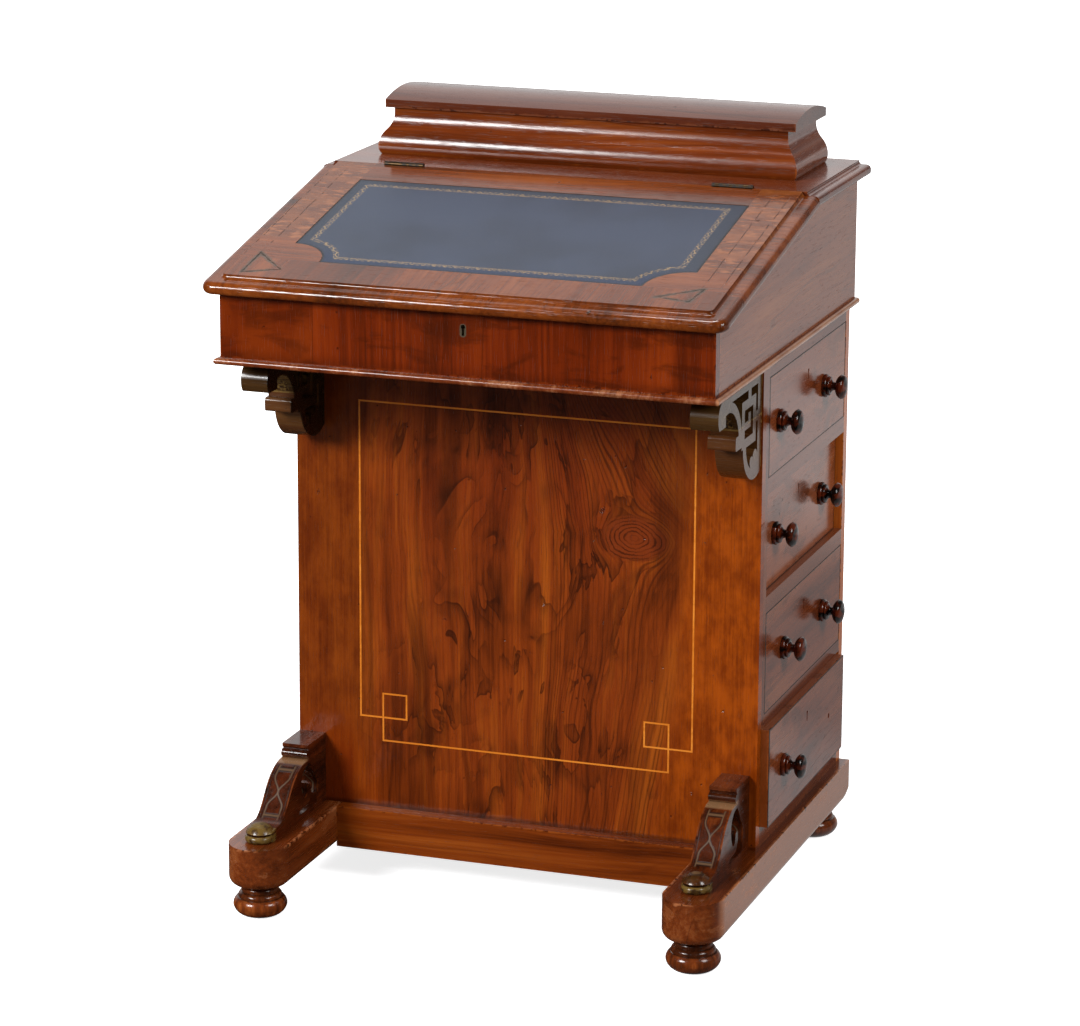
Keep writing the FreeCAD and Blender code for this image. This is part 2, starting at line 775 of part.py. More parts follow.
def scroll_bracket(label, x, height, setback):
    """A carved scroll bracket on a runner: bead under a flat cap, S-shaped shin, a round pad
    with a dome on it as the toe, and a C-shaped piercing with a small curl. Its back stands
    against the front panel."""
    deep = (S.pedestal_setback - setback).value
    tall = height.value
    wide = S.scroll_width.value

    def at(reach, height):
        return FreeCAD.Vector(0, -reach * deep, height * tall)

    neck, bead, bead_low = at(0.285, 0.915), at(0.322, 0.862), at(0.288, 0.810)
    shoulder, ankle = at(0.318, 0.800), at(0.800, 0.175)
    outer = Part.Wire([edge.toShape() for edge in (
        Part.LineSegment(at(0, 0), at(0, 1)),
        Part.LineSegment(at(0, 1), at(0.30, 1.0)),
        Part.LineSegment(at(0.30, 1.0), at(0.30, 0.955)),
        Part.LineSegment(at(0.30, 0.955), at(0.285, 0.935)),
        Part.LineSegment(at(0.285, 0.935), neck),
        Part.Arc(neck, bead, bead_low),
        Part.LineSegment(bead_low, shoulder),
        curve([shoulder, at(0.45, 0.735), at(0.555, 0.585), at(0.625, 0.415), at(0.70, 0.255),
               ankle]),
        Part.LineSegment(ankle, at(0.89, 0.16)),
        Part.LineSegment(at(0.89, 0.16), at(0.89, 0)),
        Part.LineSegment(at(0.89, 0), at(0, 0)),
    )])
    piercing = Part.Wire([edge.toShape() for edge in (
        curve([at(0.275, 0.74), at(0.225, 0.62), at(0.205, 0.56), at(0.155, 0.45),
               at(0.132, 0.33), at(0.142, 0.20), at(0.162, 0.085)]),
        Part.LineSegment(at(0.162, 0.085), at(0.47, 0.085)),
        curve([at(0.47, 0.085), at(0.36, 0.15), at(0.30, 0.17), at(0.263, 0.25),
               at(0.257, 0.36), at(0.281, 0.43), at(0.305, 0.40), at(0.312, 0.33),
               at(0.335, 0.275), at(0.365, 0.275), at(0.39, 0.33)]),
        curve([at(0.39, 0.33), at(0.415, 0.50), at(0.40, 0.62), at(0.35, 0.71),
               at(0.275, 0.74)]),
    )])
    radius = S.toe_radius.value

    def disc(reach, low, high, radius):
        return Part.makeCylinder(radius, high - low, FreeCAD.Vector(wide / 2, -reach, low))

    pad_height, dome_low, dome_top = 8.6, 9.8, 19.8
    pad_reach = deep * 0.995 - radius
    pad = disc(pad_reach, 0, pad_height, radius)
    rims = [edge for edge in pad.Edges if edge.Length > radius * 6]
    pad = pad.makeFillet(pad_height / 2 - 0.2, rims)
    dome_rise = dome_top - dome_low
    dome_radius = (radius ** 2 + dome_rise ** 2) / dome_rise / 2
    dome_reach = pad_reach - 3.0
    dome = Part.makeSphere(dome_radius,
                           FreeCAD.Vector(wide / 2, -dome_reach, dome_top - dome_radius))
    dome = dome.common(disc(dome_reach, dome_low, dome_top + 1, radius))
    shape = extruded(outer, [piercing], wide).multiFuse(
        [pad, dome, disc(dome_reach, pad_height - 2, dome_low + 2, radius - 2)])
    thing = doc.addObject("Part::Feature", label)
    thing.Shape = shape
    thing.Placement.Base = FreeCAD.Vector(x.value, panel_front.value, runner_top.value)
    keep(thing, label)


scroll_bracket("scroll_bracket_left", S.scroll_left_inset - half, S.scroll_left_height,
               S.scroll_left_setback)
scroll_bracket("scroll_bracket_right", half - S.scroll_right_inset - S.scroll_width,
               S.scroll_right_height, S.scroll_right_setback)


def fret_bracket(label, x, height):
    """A pierced bracket under the case: moulded flange, square key fret, a quarter ring that
    ends in a roll, and a rounded foot. Its back stands against the front panel."""
    bar = S.fret_bar.value
    long = (S.pedestal_setback - S.fret_front_inset).value
    reach = (S.pedestal_setback - S.fret_flange_inset).value
    tall = height.value
    wide = S.fret_width.value
    flange = S.fret_flange.value

    def slab(reach_0, reach_1, drop_0, drop_1):
        """A block given by its reach in front of the panel and its drop below the case."""
        return Part.makeBox(wide, reach_1 - reach_0, drop_1 - drop_0,
                            FreeCAD.Vector(0, -reach_1, -drop_1))

    def disc(reach, drop, radius):
        return Part.makeCylinder(radius, wide, FreeCAD.Vector(0, -reach, -drop),
                                 FreeCAD.Vector(1, 0, 0))

    stile = 14.0
    key_back = 21.0
    key_front = key_back + 50.0
    head = S.fret_head.value + 11.0
    key_top = head + 9.0
    key_low = key_top + 50.0
    hook_back = key_back + bar + 8.5
    solids = [
        slab(0, long - 8, 0, head),
        slab(0, stile, 0, tall - 8),
        # key fret: square frame, its inward hook and its two ties
        slab(key_back, key_front, key_top, key_top + bar),
        slab(key_back, key_front, key_low - bar, key_low),
        slab(key_back, key_back + bar, key_top, key_low),
        slab(key_front - bar, key_front, key_top, key_low - bar / 2),
        slab(hook_back, key_front, key_low - bar - 17, key_low - bar - 9),
        slab(hook_back, hook_back + 8.5, key_top + bar + 5, key_low - bar - 9),
        slab(key_back + 17.5, key_back + 28, head, key_top),
        slab(stile, key_back, key_top + 19, key_top + 30),
    ]
    # quarter ring over the open front, and the roll at its tip
    ring_middle = head + 48.0
    ring = disc(120.0, ring_middle, 49.5).cut(disc(120.0, ring_middle, 39.0))
    solids.append(ring.common(slab(key_front, 139.0, head - 3, ring_middle + 1)))
    roll = slab(long - 24, long + 2.0, head - 6, head + 21.0)
    solids.append(roll.common(disc(long - 15.0, head + 9.5, 17.2)))
    # second tread, a block with a leaf on it
    tread = slab(key_front - 8, key_front + 21, key_low - 18.5, key_low - 3.5)
    front_edges = [edge for edge in tread.Edges
                   if near(edge.CenterOfMass.y, -key_front - 21) and edge.Length > wide - 1]
    solids.append(tread.makeFillet(3.5, front_edges))
    solids.append(disc(key_front + 6, key_low - 19, 4.0))
    # rounded foot with a leaf-shaped filling
    foot_middle = tall - 42.0
    foot = disc(stile + 10, foot_middle, 42.0)
    hollow = disc(stile + 10, foot_middle, 31.5)
    solids.append(foot.cut(hollow).common(slab(0, 68, key_low - bar, tall + 3)))
    solids.append(foot.common(slab(0, 39.0, foot_middle + 18, tall + 3)))
    solids.append(disc(22.0, foot_middle + 19, 8.0))
    solids.append(disc(35.0, foot_middle + 22, 6.0))
    # the flange that meets the case
    solids.append(slab(0, reach, 0, flange))
    shape = solids[0].multiFuse(solids[1:]).removeSplitter()
    edges = [edge for edge in shape.Edges
             if near(edge.CenterOfMass.y, -reach)
             and near(edge.CenterOfMass.z, -flange)]
    shape = shape.makeFillet(flange - 0.8, edges)
    thing = doc.addObject("Part::Feature", label)
    thing.Shape = shape
    thing.Placement.Base = FreeCAD.Vector(x.value, panel_front.value, pedestal_top.value)
    keep(thing, label)


fret_bracket("fret_bracket_left", S.fret_inset - half, S.fret_left_height)
fret_bracket("fret_bracket_right", half - S.fret_inset - S.fret_width, S.fret_right_height)

# ---------------------------------------------------------------- desk case

case_floor = pedestal_top + S.case_bottom_thickness
case_front_back = front + S.case_front_thickness
keep(box("case_bottom", (-case_half, case_half), (front, back), (pedestal_top, case_floor)),
     "case_bottom")

front_board = box("case_front_board", (-case_half, case_half), (front, case_front_back),
                  (case_floor, lid_underside(front) - S.lid_seat_gap))
lid_key_z = lid_underside(front) - 19.5
lock_top = lid_underside(front) - S.lid_seat_gap - 0.5
lock_slack = S.lock_clearance
lid_lock_face = case_front_back - S.lock_thickness
eye = doc.addObject("Part::Cylinder", "lid_key_eye")
eye.Placement = FreeCAD.Placement(FreeCAD.Vector(), FreeCAD.Rotation(FreeCAD.Vector(1, 0, 0), -90))
bind(eye, Radius=S.keyhole_radius, Height=S.case_front_thickness)
move(eye, zero, front - 1, lid_key_z)
slot = box("lid_key_slot", (-S.keyhole_slot / 2, S.keyhole_slot / 2),
           (front - 1, case_front_back - 1), (lid_key_z - S.keyhole_drop, lid_key_z))
mortise = box("lid_lock_mortise",
              (-S.lock_width / 2 - lock_slack, S.lock_width / 2 + lock_slack),
              (lid_lock_face - lock_slack, case_front_back + 1),
              (lock_top - S.lock_height - lock_slack, lock_top + 10))
keep(cut("case_front", front_board, [eye, slot, mortise]), "case_front")
keep(box("lid_lock", (-S.lock_width / 2, S.lock_width / 2), (lid_lock_face, case_front_back),
         (lock_top - S.lock_height, lock_top)), "lid_lock")


def case_side(label, x):
    """One side of the case: level under the fixed board, sloping under the lid."""
    body = new_body(label)
    sketch = sketch_on(body, f"{label}_outline", "YZ_Plane")
    shelf = hinge_y + S.lid_joint_gap / 2
    outline(sketch, [
        (case_front_back, case_floor),
        (back, case_floor),
        (back, board_under),
        (shelf, board_under),
        (shelf, lid_underside(shelf) - S.lid_seat_gap),
        (case_front_back, lid_underside(case_front_back) - S.lid_seat_gap),
    ])
    pad(body, sketch, S.case_wall)
    move(body, x, zero, zero)
    keep(body, label)


case_side("case_side_left", -case_half)
case_side("case_side_right", case_half - S.case_wall)
keep(box("case_back", (S.case_wall - case_half, case_half - S.case_wall),
         (back - S.case_wall, back), (case_floor, board_under)), "case_back")


def moulded_strip(name, section, length, width):
    """A length of moulding along X, its back on y = 0 and its face towards -Y, mitred at the
    ends that meet another strip. width is how far the mitres run in from the face."""
    body = new_body(name)
    sketch = sketch_on(body, f"{name}_section", "YZ_Plane")
    outline(sketch, section)
    pad(body, sketch, length + width * 2, centred=True)
    return body


def mitre(body, name, x, sign, width):
    """Cut one end at 45 degrees: x is where the mitre meets the back of the strip."""
    sketch = sketch_on(body, name, "XY_Plane")
    far = width + 2
    corners = [(x - 2 * sign, size(2)), (x + far * 2 * sign, size(2)),
               (x + far * 2 * sign, -far), (x + far * sign, -far)]
    outline(sketch, corners if sign > 0 else corners[::-1])
    pocket(body, sketch, S.bead_radius * 8, centred=True)


reach =S.moulding_fillet + S.bead_radius
moulding_height = S.bead_radius * 2
base_section = [
    (zero, zero),
    (-S.moulding_fillet, zero),
    (-reach, S.bead_radius, S.bead_radius, -1),
    (-S.moulding_fillet, moulding_height, S.bead_radius, -1),
    (zero, moulding_height),
]
strip_front = moulded_strip("moulding_front", base_section, S.case_width, reach)
mitre(strip_front, "moulding_front_right", case_half, 1, reach)
mitre(strip_front, "moulding_front_left", -case_half, -1, reach)
move(strip_front, zero, front, pedestal_top)
strips = [strip_front]
for side, sign in (("left", -1), ("right", 1)):
    strip = moulded_strip(f"moulding_{side}", base_section, S.case_depth, reach)
    mitre(strip, f"moulding_{side}_mitre", S.case_depth / 2 * -sign, -sign, reach)
    square = sketch_on(strip, f"moulding_{side}_square", "XY_Plane")
    end = S.case_depth / 2 * sign
    beyond = end + reach * 2 * sign
    outline(square, [(end, size(2)), (end, -reach - 2), (beyond, -reach - 2), (beyond, size(2))])
    pocket(strip, square, moulding_height * 4, centred=True)
    turn = FreeCAD.Rotation(FreeCAD.Vector(0, 0, 1), 90 * sign)
    strip.Placement = FreeCAD.Placement(FreeCAD.Vector(), turn)
    move(strip, case_half * sign, (front + back) / 2, pedestal_top)
    strips.append(strip)
keep(grouped("base_moulding", strips), "base_moulding")

# ---------------------------------------------------------------- fixed board and writing lid

def moulded_board(body, name, near_y, far_y, thickness, edging, nose, corner, inner_corner):
    """A board with a raised field, a cove and a rounded nose on its front and both sides, or on
    its sides alone when corner is None. edging is the width of that moulding and nose its top
    and under radius. Local z = 0 is the top of the field."""
    wide = lid_half
    field = lid_half - edging
    plan = sketch_on(body, f"{name}_plan", "XY_Plane")
    plan.AttachmentOffset.Base.z = 0
    plan.setExpression("AttachmentOffset.Base.z", (-thickness).text)
    if corner is None:
        outline(plan, [(-wide, near_y), (wide, near_y), (wide, far_y), (-wide, far_y)])
        field_y = near_y
    else:
        outline(plan, [(-wide + corner, near_y, corner, 1), (wide - corner, near_y),
                       (wide, near_y + corner, corner, 1), (wide, far_y), (-wide, far_y),
                       (-wide, near_y + corner)])
        field_y = near_y + edging
    base = pad(body, plan, thickness - S.lid_step)
    shoulder = -S.lid_step.value
    under = -thickness.value

    def moulded(middle, edge):
        if near(middle.y, far_y.value):
            return False
        return corner is not None or not near(middle.y, near_y.value)

    base = round_edges(body, base, nose[0], lambda middle, edge:
                       near(middle.z, shoulder) and moulded(middle, edge))
    round_edges(body, base, nose[1], lambda middle, edge:
                near(middle.z, under) and moulded(middle, edge))
    raised = sketch_on(body, f"{name}_field", "XY_Plane")
    raised.setExpression("AttachmentOffset.Base.z", (-thickness / 2).text)
    if inner_corner is None:
        outline(raised, [(-field, field_y), (field, field_y), (field, far_y), (-field, far_y)])
    else:
        outline(raised, [(-field + inner_corner, field_y, inner_corner, 1),
                         (field - inner_corner, field_y),
                         (field, field_y + inner_corner, inner_corner, 1), (field, far_y),
                         (-field, far_y), (-field, field_y + inner_corner)])
    whole = pad(body, raised, thickness / 2)
    inside = field.value + 0.05

    def coved(middle, edge):
        return (near(middle.z, shoulder) and abs(middle.x) < inside
                and not near(middle.y, far_y.value) and moulded(middle, edge))

    round_edges(body, whole, S.lid_cove, coved)


board_front = hinge_y + S.lid_joint_gap / 2
board_body = new_body("board_body")
board_nose = (S.nose_top_radius - 2.0, S.nose_under_radius - 1.0)
moulded_board(board_body, "board", board_front, back, S.board_thickness,
              S.board_moulding_width, board_nose, None, None)
move(board_body, zero, zero, board_top)

lid_body = new_body("lid_body")
nose_drop = (S.lid_step + S.nose_top_radius) * tangent(S.lid_slope)
lid_length = (hinge_y - front + S.lid_overhang) / cosine(S.lid_slope) + nose_drop
lid_nose = (S.nose_top_radius, S.nose_under_radius)
moulded_board(lid_body, "lid", -lid_length, zero, S.lid_thickness, S.lid_moulding_width,
              lid_nose, S.lid_corner_radius, S.lid_inner_corner)


def leather_outline(sketch, grow):
    """The writing surface: square at the back, scalloped inwards at its two front corners."""
    wide = lid_half - S.leather_side_margin + grow
    far = grow - S.leather_back_margin
    close = S.leather_front_margin - lid_length - grow
    scallop = S.leather_scallop
    outline(sketch, [
        (wide - scallop, close),
        (wide, close + scallop, scallop, -1),
        (wide, far),
        (-wide, far),
        (-wide, close + scallop),
        (-wide + scallop, close, scallop, -1),
    ])


recess = sketch_on(lid_body, "leather_recess_outline", "XY_Plane")
leather_outline(recess, S.leather_gap)
pocket(lid_body, recess, S.leather_recess)
tilt = FreeCAD.Rotation(FreeCAD.Vector(1, 0, 0), S.lid_slope.value)


def lay_on_slope(body):
    """Put a body drawn flat on the slope of the lid, its rear edge on the hinge line."""
    body.Placement = FreeCAD.Placement(FreeCAD.Vector(), tilt)
    body.setExpression("Placement.Rotation.Angle", "Sizes.lid_slope * 1 deg")
    move(body, zero, hinge_y, board_top)


lay_on_slope(lid_body)
leather = new_body("lid_leather")
leather_sketch = sketch_on(leather, "leather_outline", "XY_Plane")
leather_sketch.setExpression("AttachmentOffset.Base.z", (-S.leather_recess).text)
leather_outline(leather_sketch, zero)
pad(leather, leather_sketch, S.leather_thickness)
lay_on_slope(leather)
keep(leather, "lid_leather")

# ---------------------------------------------------------------- butt hinges

def knuckles(name, x, y, z, length, radius, numbers):
    """The knuckles of one leaf, out of five along the hinge."""
    step = length / 5
    bars = []
    for number in numbers:
        start = x - length / 2 + step * number + S.knuckle_gap / 2
        bars.append(rod(f"{name}_{number}", radius, step - S.knuckle_gap, start, y, z))
    return bars


def butt_hinges(label, x_places, y, z, length, radius, fixed_plate, moving_plate):
    """A pair of butt hinges. Each plate is given as its y and z faces."""
    fixed, moving = [], []
    for index, x in enumerate(x_places):
        span = (x - length / 2, x + length / 2)
        bore = rod(f"{label}_bore_{index}", S.hinge_pin_radius + S.hinge_play, length + 2,
                   span[0] - 1, y, z)
        tag = f"{label}_{index}"
        slack = radius + 0.3
        plate = box(f"{tag}_fixed_plate", span, *fixed_plate)
        clear = [box(f"{tag}_fixed_gap_{number}",
                     (x - length / 2 + length / 5 * number, x - length / 2
                      + length / 5 * (number + 1)),
                     (y - slack, y + slack), (z - slack, z + slack)) for number in (1, 3)]
        plate = cut(f"{tag}_fixed_notched", plate, clear)
        leaf = joined(f"{tag}_fixed_leaf",
                      [plate] + knuckles(f"{tag}_fixed", x, y, z, length, radius, (0, 2, 4)))
        fixed.append(cut(f"{tag}_fixed", leaf, [bore]))
        fixed.append(rod(f"{tag}_pin", S.hinge_pin_radius, length, span[0], y, z))
        plate = box(f"{tag}_moving_plate", span, *moving_plate)
        clear = [box(f"{tag}_moving_gap_{number}",
                     (x - length / 2 + length / 5 * number, x - length / 2
                      + length / 5 * (number + 1)),
                     (y - slack, y + slack), (z - slack, z + slack)) for number in (0, 2, 4)]
        plate = cut(f"{tag}_moving_notched", plate, clear)
        leaf = joined(f"{tag}_moving_leaf",
                      [plate] + knuckles(f"{tag}_moving", x, y, z, length, radius, (1, 3)))
        moving.append(cut(f"{tag}_moving", leaf, [bore]))
    keep(grouped(f"{label}_fixed_leaves", fixed), f"{label}_fixed_leaves")
    keep(grouped(f"{label}_moving_leaves", moving), f"{label}_moving_leaves")


pin_z = board_top + S.knuckle_rise
leaf_low = pin_z - S.leaf_height
half_joint = S.lid_joint_gap / 2
hinge_places = (-S.lid_hinge_spacing / 2, S.lid_hinge_spacing / 2)
butt_hinges("lid_hinge", hinge_places, hinge_y, pin_z, S.lid_hinge_length, S.knuckle_radius,
            ((hinge_y + half_joint, hinge_y + half_joint + S.leaf_thickness), (leaf_low, pin_z)),
            ((hinge_y - half_joint - S.leaf_thickness, hinge_y - half_joint), (leaf_low, pin_z)))


def hinge_recesses(name, sign):
    """Room for the leaf and the knuckles in the edge behind (+1) or before (-1) the joint."""
    slack = S.lock_clearance
    cuts = []
    for index, x in enumerate(hinge_places):
        span = (x - S.lid_hinge_length / 2 - slack, x + S.lid_hinge_length / 2 + slack)
        for part, deep, low in (("leaf", half_joint + S.leaf_thickness + slack, leaf_low - slack),
                                ("barrel", S.knuckle_radius + 0.4,
                                 pin_z - S.knuckle_radius - 0.4)):
            faces = (hinge_y, hinge_y + deep) if sign > 0 else (hinge_y - deep, hinge_y)
            cuts.append(box(f"{name}_{part}_{index}", span, faces, (low, pin_z + 5)))
    return cuts


keep(cut("top_board", board_body, hinge_recesses("board_recess", 1)), "top_board")
# The lid's rear edge is planed upright, so that it stands clear of the fixed board.
planed = box("lid_rear_waste", (-lid_half - 1, lid_half + 1),
             (hinge_y - half_joint, hinge_y + 20), (board_top - 40, board_top + 20))
keep(cut("lid_board", lid_body, [planed] + hinge_recesses("lid_recess", -1)), "lid_board")

# ---------------------------------------------------------------- stationery box

box_half = lid_half - S.box_side_inset
box_back = back - S.box_back_inset
box_front = box_back - S.box_depth
rim = board_top + S.box_height
wall_depth = S.ogee_depth + S.box_neck_wall
rise = (S.ogee_high - S.ogee_low) / 2
swell = S.ogee_depth / 2
ogee_radius = (rise * rise + swell * swell) / (swell * 2)
tuck = S.ogee_tuck
belly_radius = (S.ogee_low * S.ogee_low + tuck * tuck) / (tuck * 2)
ogee_section = [
    (wall_depth, zero),
    (wall_depth, S.box_height),
    (S.ogee_depth, S.box_height),
    (S.ogee_depth, S.ogee_high),
    (swell, S.ogee_low + rise, ogee_radius, -1),
    (zero, S.ogee_low, ogee_radius, 1),
    (tuck, zero, belly_radius, 1),
]


def ogee_board(label, half_run, square_rear=None):
    """A wall of the box, its swelling face on local y = 0 and its mitred ends cut at 45
    degrees, or square where it meets the back."""
    body = new_body(label)
    sketch = sketch_on(body, f"{label}_section", "YZ_Plane")
    outline(sketch, ogee_section)
    pad(body, sketch, half_run * 2, centred=True)
    for hand, sign in (("left", -1), ("right", 1)):
        if square_rear == sign:
            continue
        waste = sketch_on(body, f"{label}_mitre_{hand}", "XY_Plane")
        tip = half_run * sign
        deep = wall_depth + 2
        outline(waste, [(tip + sign, size(-1)), (tip - deep * sign, deep), (tip + sign, deep)])
        pocket(body, waste, S.box_height * 4, centred=True)
    return body


box_wall = ogee_board("box_front", box_half)
move(box_wall, zero, box_front, board_top)
keep(box_wall, "box_front")
for side, sign in (("left", -1), ("right", 1)):
    end_wall = ogee_board(f"box_end_{side}", S.box_depth / 2, square_rear=sign)
    turn = FreeCAD.Rotation(FreeCAD.Vector(0, 0, 1), 90 * sign)
    end_wall.Placement = FreeCAD.Placement(FreeCAD.Vector(), turn)
    move(end_wall, box_half * sign, (box_front + box_back) / 2, board_top)
    keep(end_wall, f"box_end_{side}")
inner_half = box_half - wall_depth
keep(box("box_back", (-inner_half, inner_half), (box_back - S.box_neck_wall, box_back),
         (board_top, rim - S.box_back_drop)), "box_back")

# The domed lid of the box, hollowed underneath.
dome = new_body("box_lid")
dome_sketch = sketch_on(dome, "dome_section", "YZ_Plane")
lid_back = box_back + S.box_lid_rear_overhang
lid_front = lid_back - S.box_lid_depth
lid_low = rim + S.box_lid_gap
half_chord = S.box_lid_depth / 2
dome_radius = (half_chord * half_chord + S.box_lid_rise * S.box_lid_rise) / (S.box_lid_rise * 2)
outline(dome_sketch, [
    (lid_front, lid_low),
    (lid_back, lid_low),
    (lid_back, lid_low + S.box_lid_edge),
    (lid_front, lid_low + S.box_lid_edge, dome_radius, 1),
])
pad(dome, dome_sketch, (box_half - S.box_lid_end_inset) * 2, centred=True)
hollow = sketch_on(dome, "dome_hollow", "XY_Plane")
hollow.setExpression("AttachmentOffset.Base.z", lid_low.text)
outline(hollow, [
    (-inner_half, box_front + wall_depth),
    (inner_half, box_front + wall_depth),
    (inner_half, box_back - S.box_neck_wall - S.leaf_height),
    (-inner_half, box_back - S.box_neck_wall - S.leaf_height),
])
pocket(dome, hollow, S.box_lid_hollow, reverse=True)
keep(dome, "box_lid")

pin_y = box_back + S.box_knuckle_radius + 0.2
box_pin_z = lid_low - S.box_knuckle_radius - 0.2
butt_hinges("box_hinge", (-S.box_hinge_spacing / 2, S.box_hinge_spacing / 2), pin_y, box_pin_z,
            S.box_hinge_length, S.box_knuckle_radius,
            ((box_back, box_back + S.leaf_thickness), (box_pin_z - S.leaf_height, box_pin_z)),
            ((pin_y - S.leaf_height, pin_y), (lid_low - S.leaf_thickness, lid_low)))

# ---------------------------------------------------------------- check and write

doc.recompute()
for thing in doc.Objects:
    if "Invalid" in thing.State or "Error" in thing.State:
        raise ValueError(f"{thing.Label}: {thing.State}")
for node in nodes:
    if node.Shape.isNull() or not node.Shape.isValid() or not node.Shape.Solids:
        raise ValueError(f"{node.Label} has no valid solid")
os.makedirs("parts", exist_ok=True)
for node in nodes:
    node.Shape.exportStep(f"parts/{node.Label}.step")
print(len(nodes), "nodes")
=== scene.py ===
import math

import bmesh
import bpy
from mathutils import Matrix, Vector


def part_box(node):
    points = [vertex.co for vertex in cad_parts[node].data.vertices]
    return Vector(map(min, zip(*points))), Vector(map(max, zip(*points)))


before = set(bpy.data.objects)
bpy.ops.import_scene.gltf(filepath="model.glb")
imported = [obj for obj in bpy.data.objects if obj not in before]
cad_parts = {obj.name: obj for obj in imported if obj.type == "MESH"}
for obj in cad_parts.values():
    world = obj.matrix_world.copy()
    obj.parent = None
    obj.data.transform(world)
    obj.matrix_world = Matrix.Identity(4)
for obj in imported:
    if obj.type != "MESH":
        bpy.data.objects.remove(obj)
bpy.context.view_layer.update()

# ------------------------------------------------------------------ studio
# The desk stands on a seamless white sweep. One soft box hangs to the left in front, a narrow one
# straight above draws the lines on the mouldings, and a square one lights the drawer side.

FLOOR_COLOUR = (0.84, 0.84, 0.85, 1)
FLOOR_BOUNCE, FLOOR_MIRRORED = (0.3, 0.3, 0.3, 1), (0.02, 0.02, 0.02, 1)
FLOOR_GLOW = 0.8
# Steps in the floor that the polish mirrors: from y, to y, and by how much the glow changes.
FLOOR_STEPS = ((-0.3, 0.0, 0.52), (0.45, 0.7, -0.2), (1.3, 1.8, 0.5), (2.2, 2.8, -0.17))
SKY_FILL = 0.18
SKY_NEAR, SKY_FAR, SKY_DIMMED = 0.04, 0.96, 0.82
CAMERA_PLACE = Vector((1.4045, -4.0413, 1.5335))
CAMERA_AZIMUTH, CAMERA_ELEVATION, CAMERA_ROLL = 18.900, 13.847, 0.377
CAMERA_LENS, CAMERA_SENSOR = 137.4, 36.0
CAMERA_SHIFT = (-0.0222, -0.0577)

scene = bpy.context.scene
scene.view_settings.view_transform = "Standard"


class Wire:
    """What runs between two nodes of a finish. Arithmetic on it adds the Math nodes."""

    def __init__(self, socket):
        self.socket = socket

    def node(self, kind, settings=(), sockets=(), out=0):
        tree = self.socket.id_data
        made = tree.nodes.new("ShaderNode" + kind)
        for name, value in dict(settings).items():
            if name == "stops":
                ramp = made.color_ramp.elements
                (ramp[0].position, ramp[0].color), (ramp[1].position, ramp[1].color) = (
                    value[0], value[-1])
                for place, colour in value[1:-1]:
                    ramp.new(place).color = colour
            else:
                setattr(made, name, value)
        for name, value in dict(sockets).items():
            if isinstance(value, Wire):
                tree.links.new(value.socket, made.inputs[name])
            else:
                made.inputs[name].default_value = value
        return Wire(made.outputs[out]) if len(made.outputs) else None

    def worked(self, operation, first, second=0.0):
        return self.node("Math", {"operation": operation}, {0: first, 1: second})

    def __add__(self, other):
        return self.worked("ADD", self, other)

    def __sub__(self, other):
        return self.worked("SUBTRACT", self, other)

    def __rsub__(self, other):
        return self.worked("SUBTRACT", other, self)

    def __mul__(self, other):
        return self.worked("MULTIPLY", self, other)

    def __truediv__(self, other):
        return self.worked("DIVIDE", self, other)

    def __rtruediv__(self, other):
        return self.worked("DIVIDE", other, self)

    def __abs__(self):
        return self.worked("ABSOLUTE", self)

    __radd__, __rmul__ = __add__, __mul__

    def most(self, other):
        return self.worked("MAXIMUM", self, other)

    def least(self, other):
        return self.worked("MINIMUM", self, other)

    def parts(self):
        split = self.node("SeparateXYZ", (), {0: self})
        outputs = split.socket.node.outputs
        return Wire(outputs[0]), Wire(outputs[1]), Wire(outputs[2])

    def shifted(self, step):
        return self.node("VectorMath", {"operation": "ADD"}, {0: self, 1: step})

    def stretched(self, by):
        return self.node("VectorMath", {"operation": "MULTIPLY"}, {0: self, 1: by})

    def point(self, x, y, z):
        return self.node("CombineXYZ", (), {0: x, 1: y, 2: z})

    def noise(self, by, detail=3.0, rough=0.5, twist=0.0):
        return self.node("TexNoise", (), {"Vector": self.stretched(by), "Scale": 1.0,
                                          "Detail": detail, "Roughness": rough,
                                          "Distortion": twist})

    def between(self, low, high):
        return self.node("MapRange", {"interpolation_type": "SMOOTHSTEP"},
                         {"Value": self, "From Min": low, "From Max": high})

    def mix(self, under, over):
        """This wire as the share of one colour over another."""
        return self.node("Mix", {"data_type": "RGBA"}, {0: self, 6: under, 7: over}, out=2)


def studio_world():
    """White where it is seen. In the polish it is white behind the desk, dark on the near side,
    and dimmed above the horizon beyond the drawers."""
    world = bpy.data.worlds.new("studio_world")
    world.use_nodes = True
    scene.world = world
    sky = world.node_tree.nodes["Background"]
    start = Wire(world.node_tree.nodes.new("ShaderNodeTexCoord").outputs["Generated"])
    rays = world.node_tree.nodes.new("ShaderNodeLightPath").outputs
    seen, mirrored = Wire(rays["Is Camera Ray"]), Wire(rays["Is Glossy Ray"])
    x, y, z = start.parts()
    dimmed = x.between(0.0, 0.25) * z.between(0.0, 0.05) * SKY_DIMMED
    glow = mirrored * (SKY_NEAR + y.between(0.2, 0.75) * (SKY_FAR - dimmed))
    glow = seen.most(glow).most(SKY_FILL * (1 - mirrored))
    sky.inputs["Color"].default_value = (1, 1, 1, 1)
    world.node_tree.links.new(glow.socket, sky.inputs["Strength"])


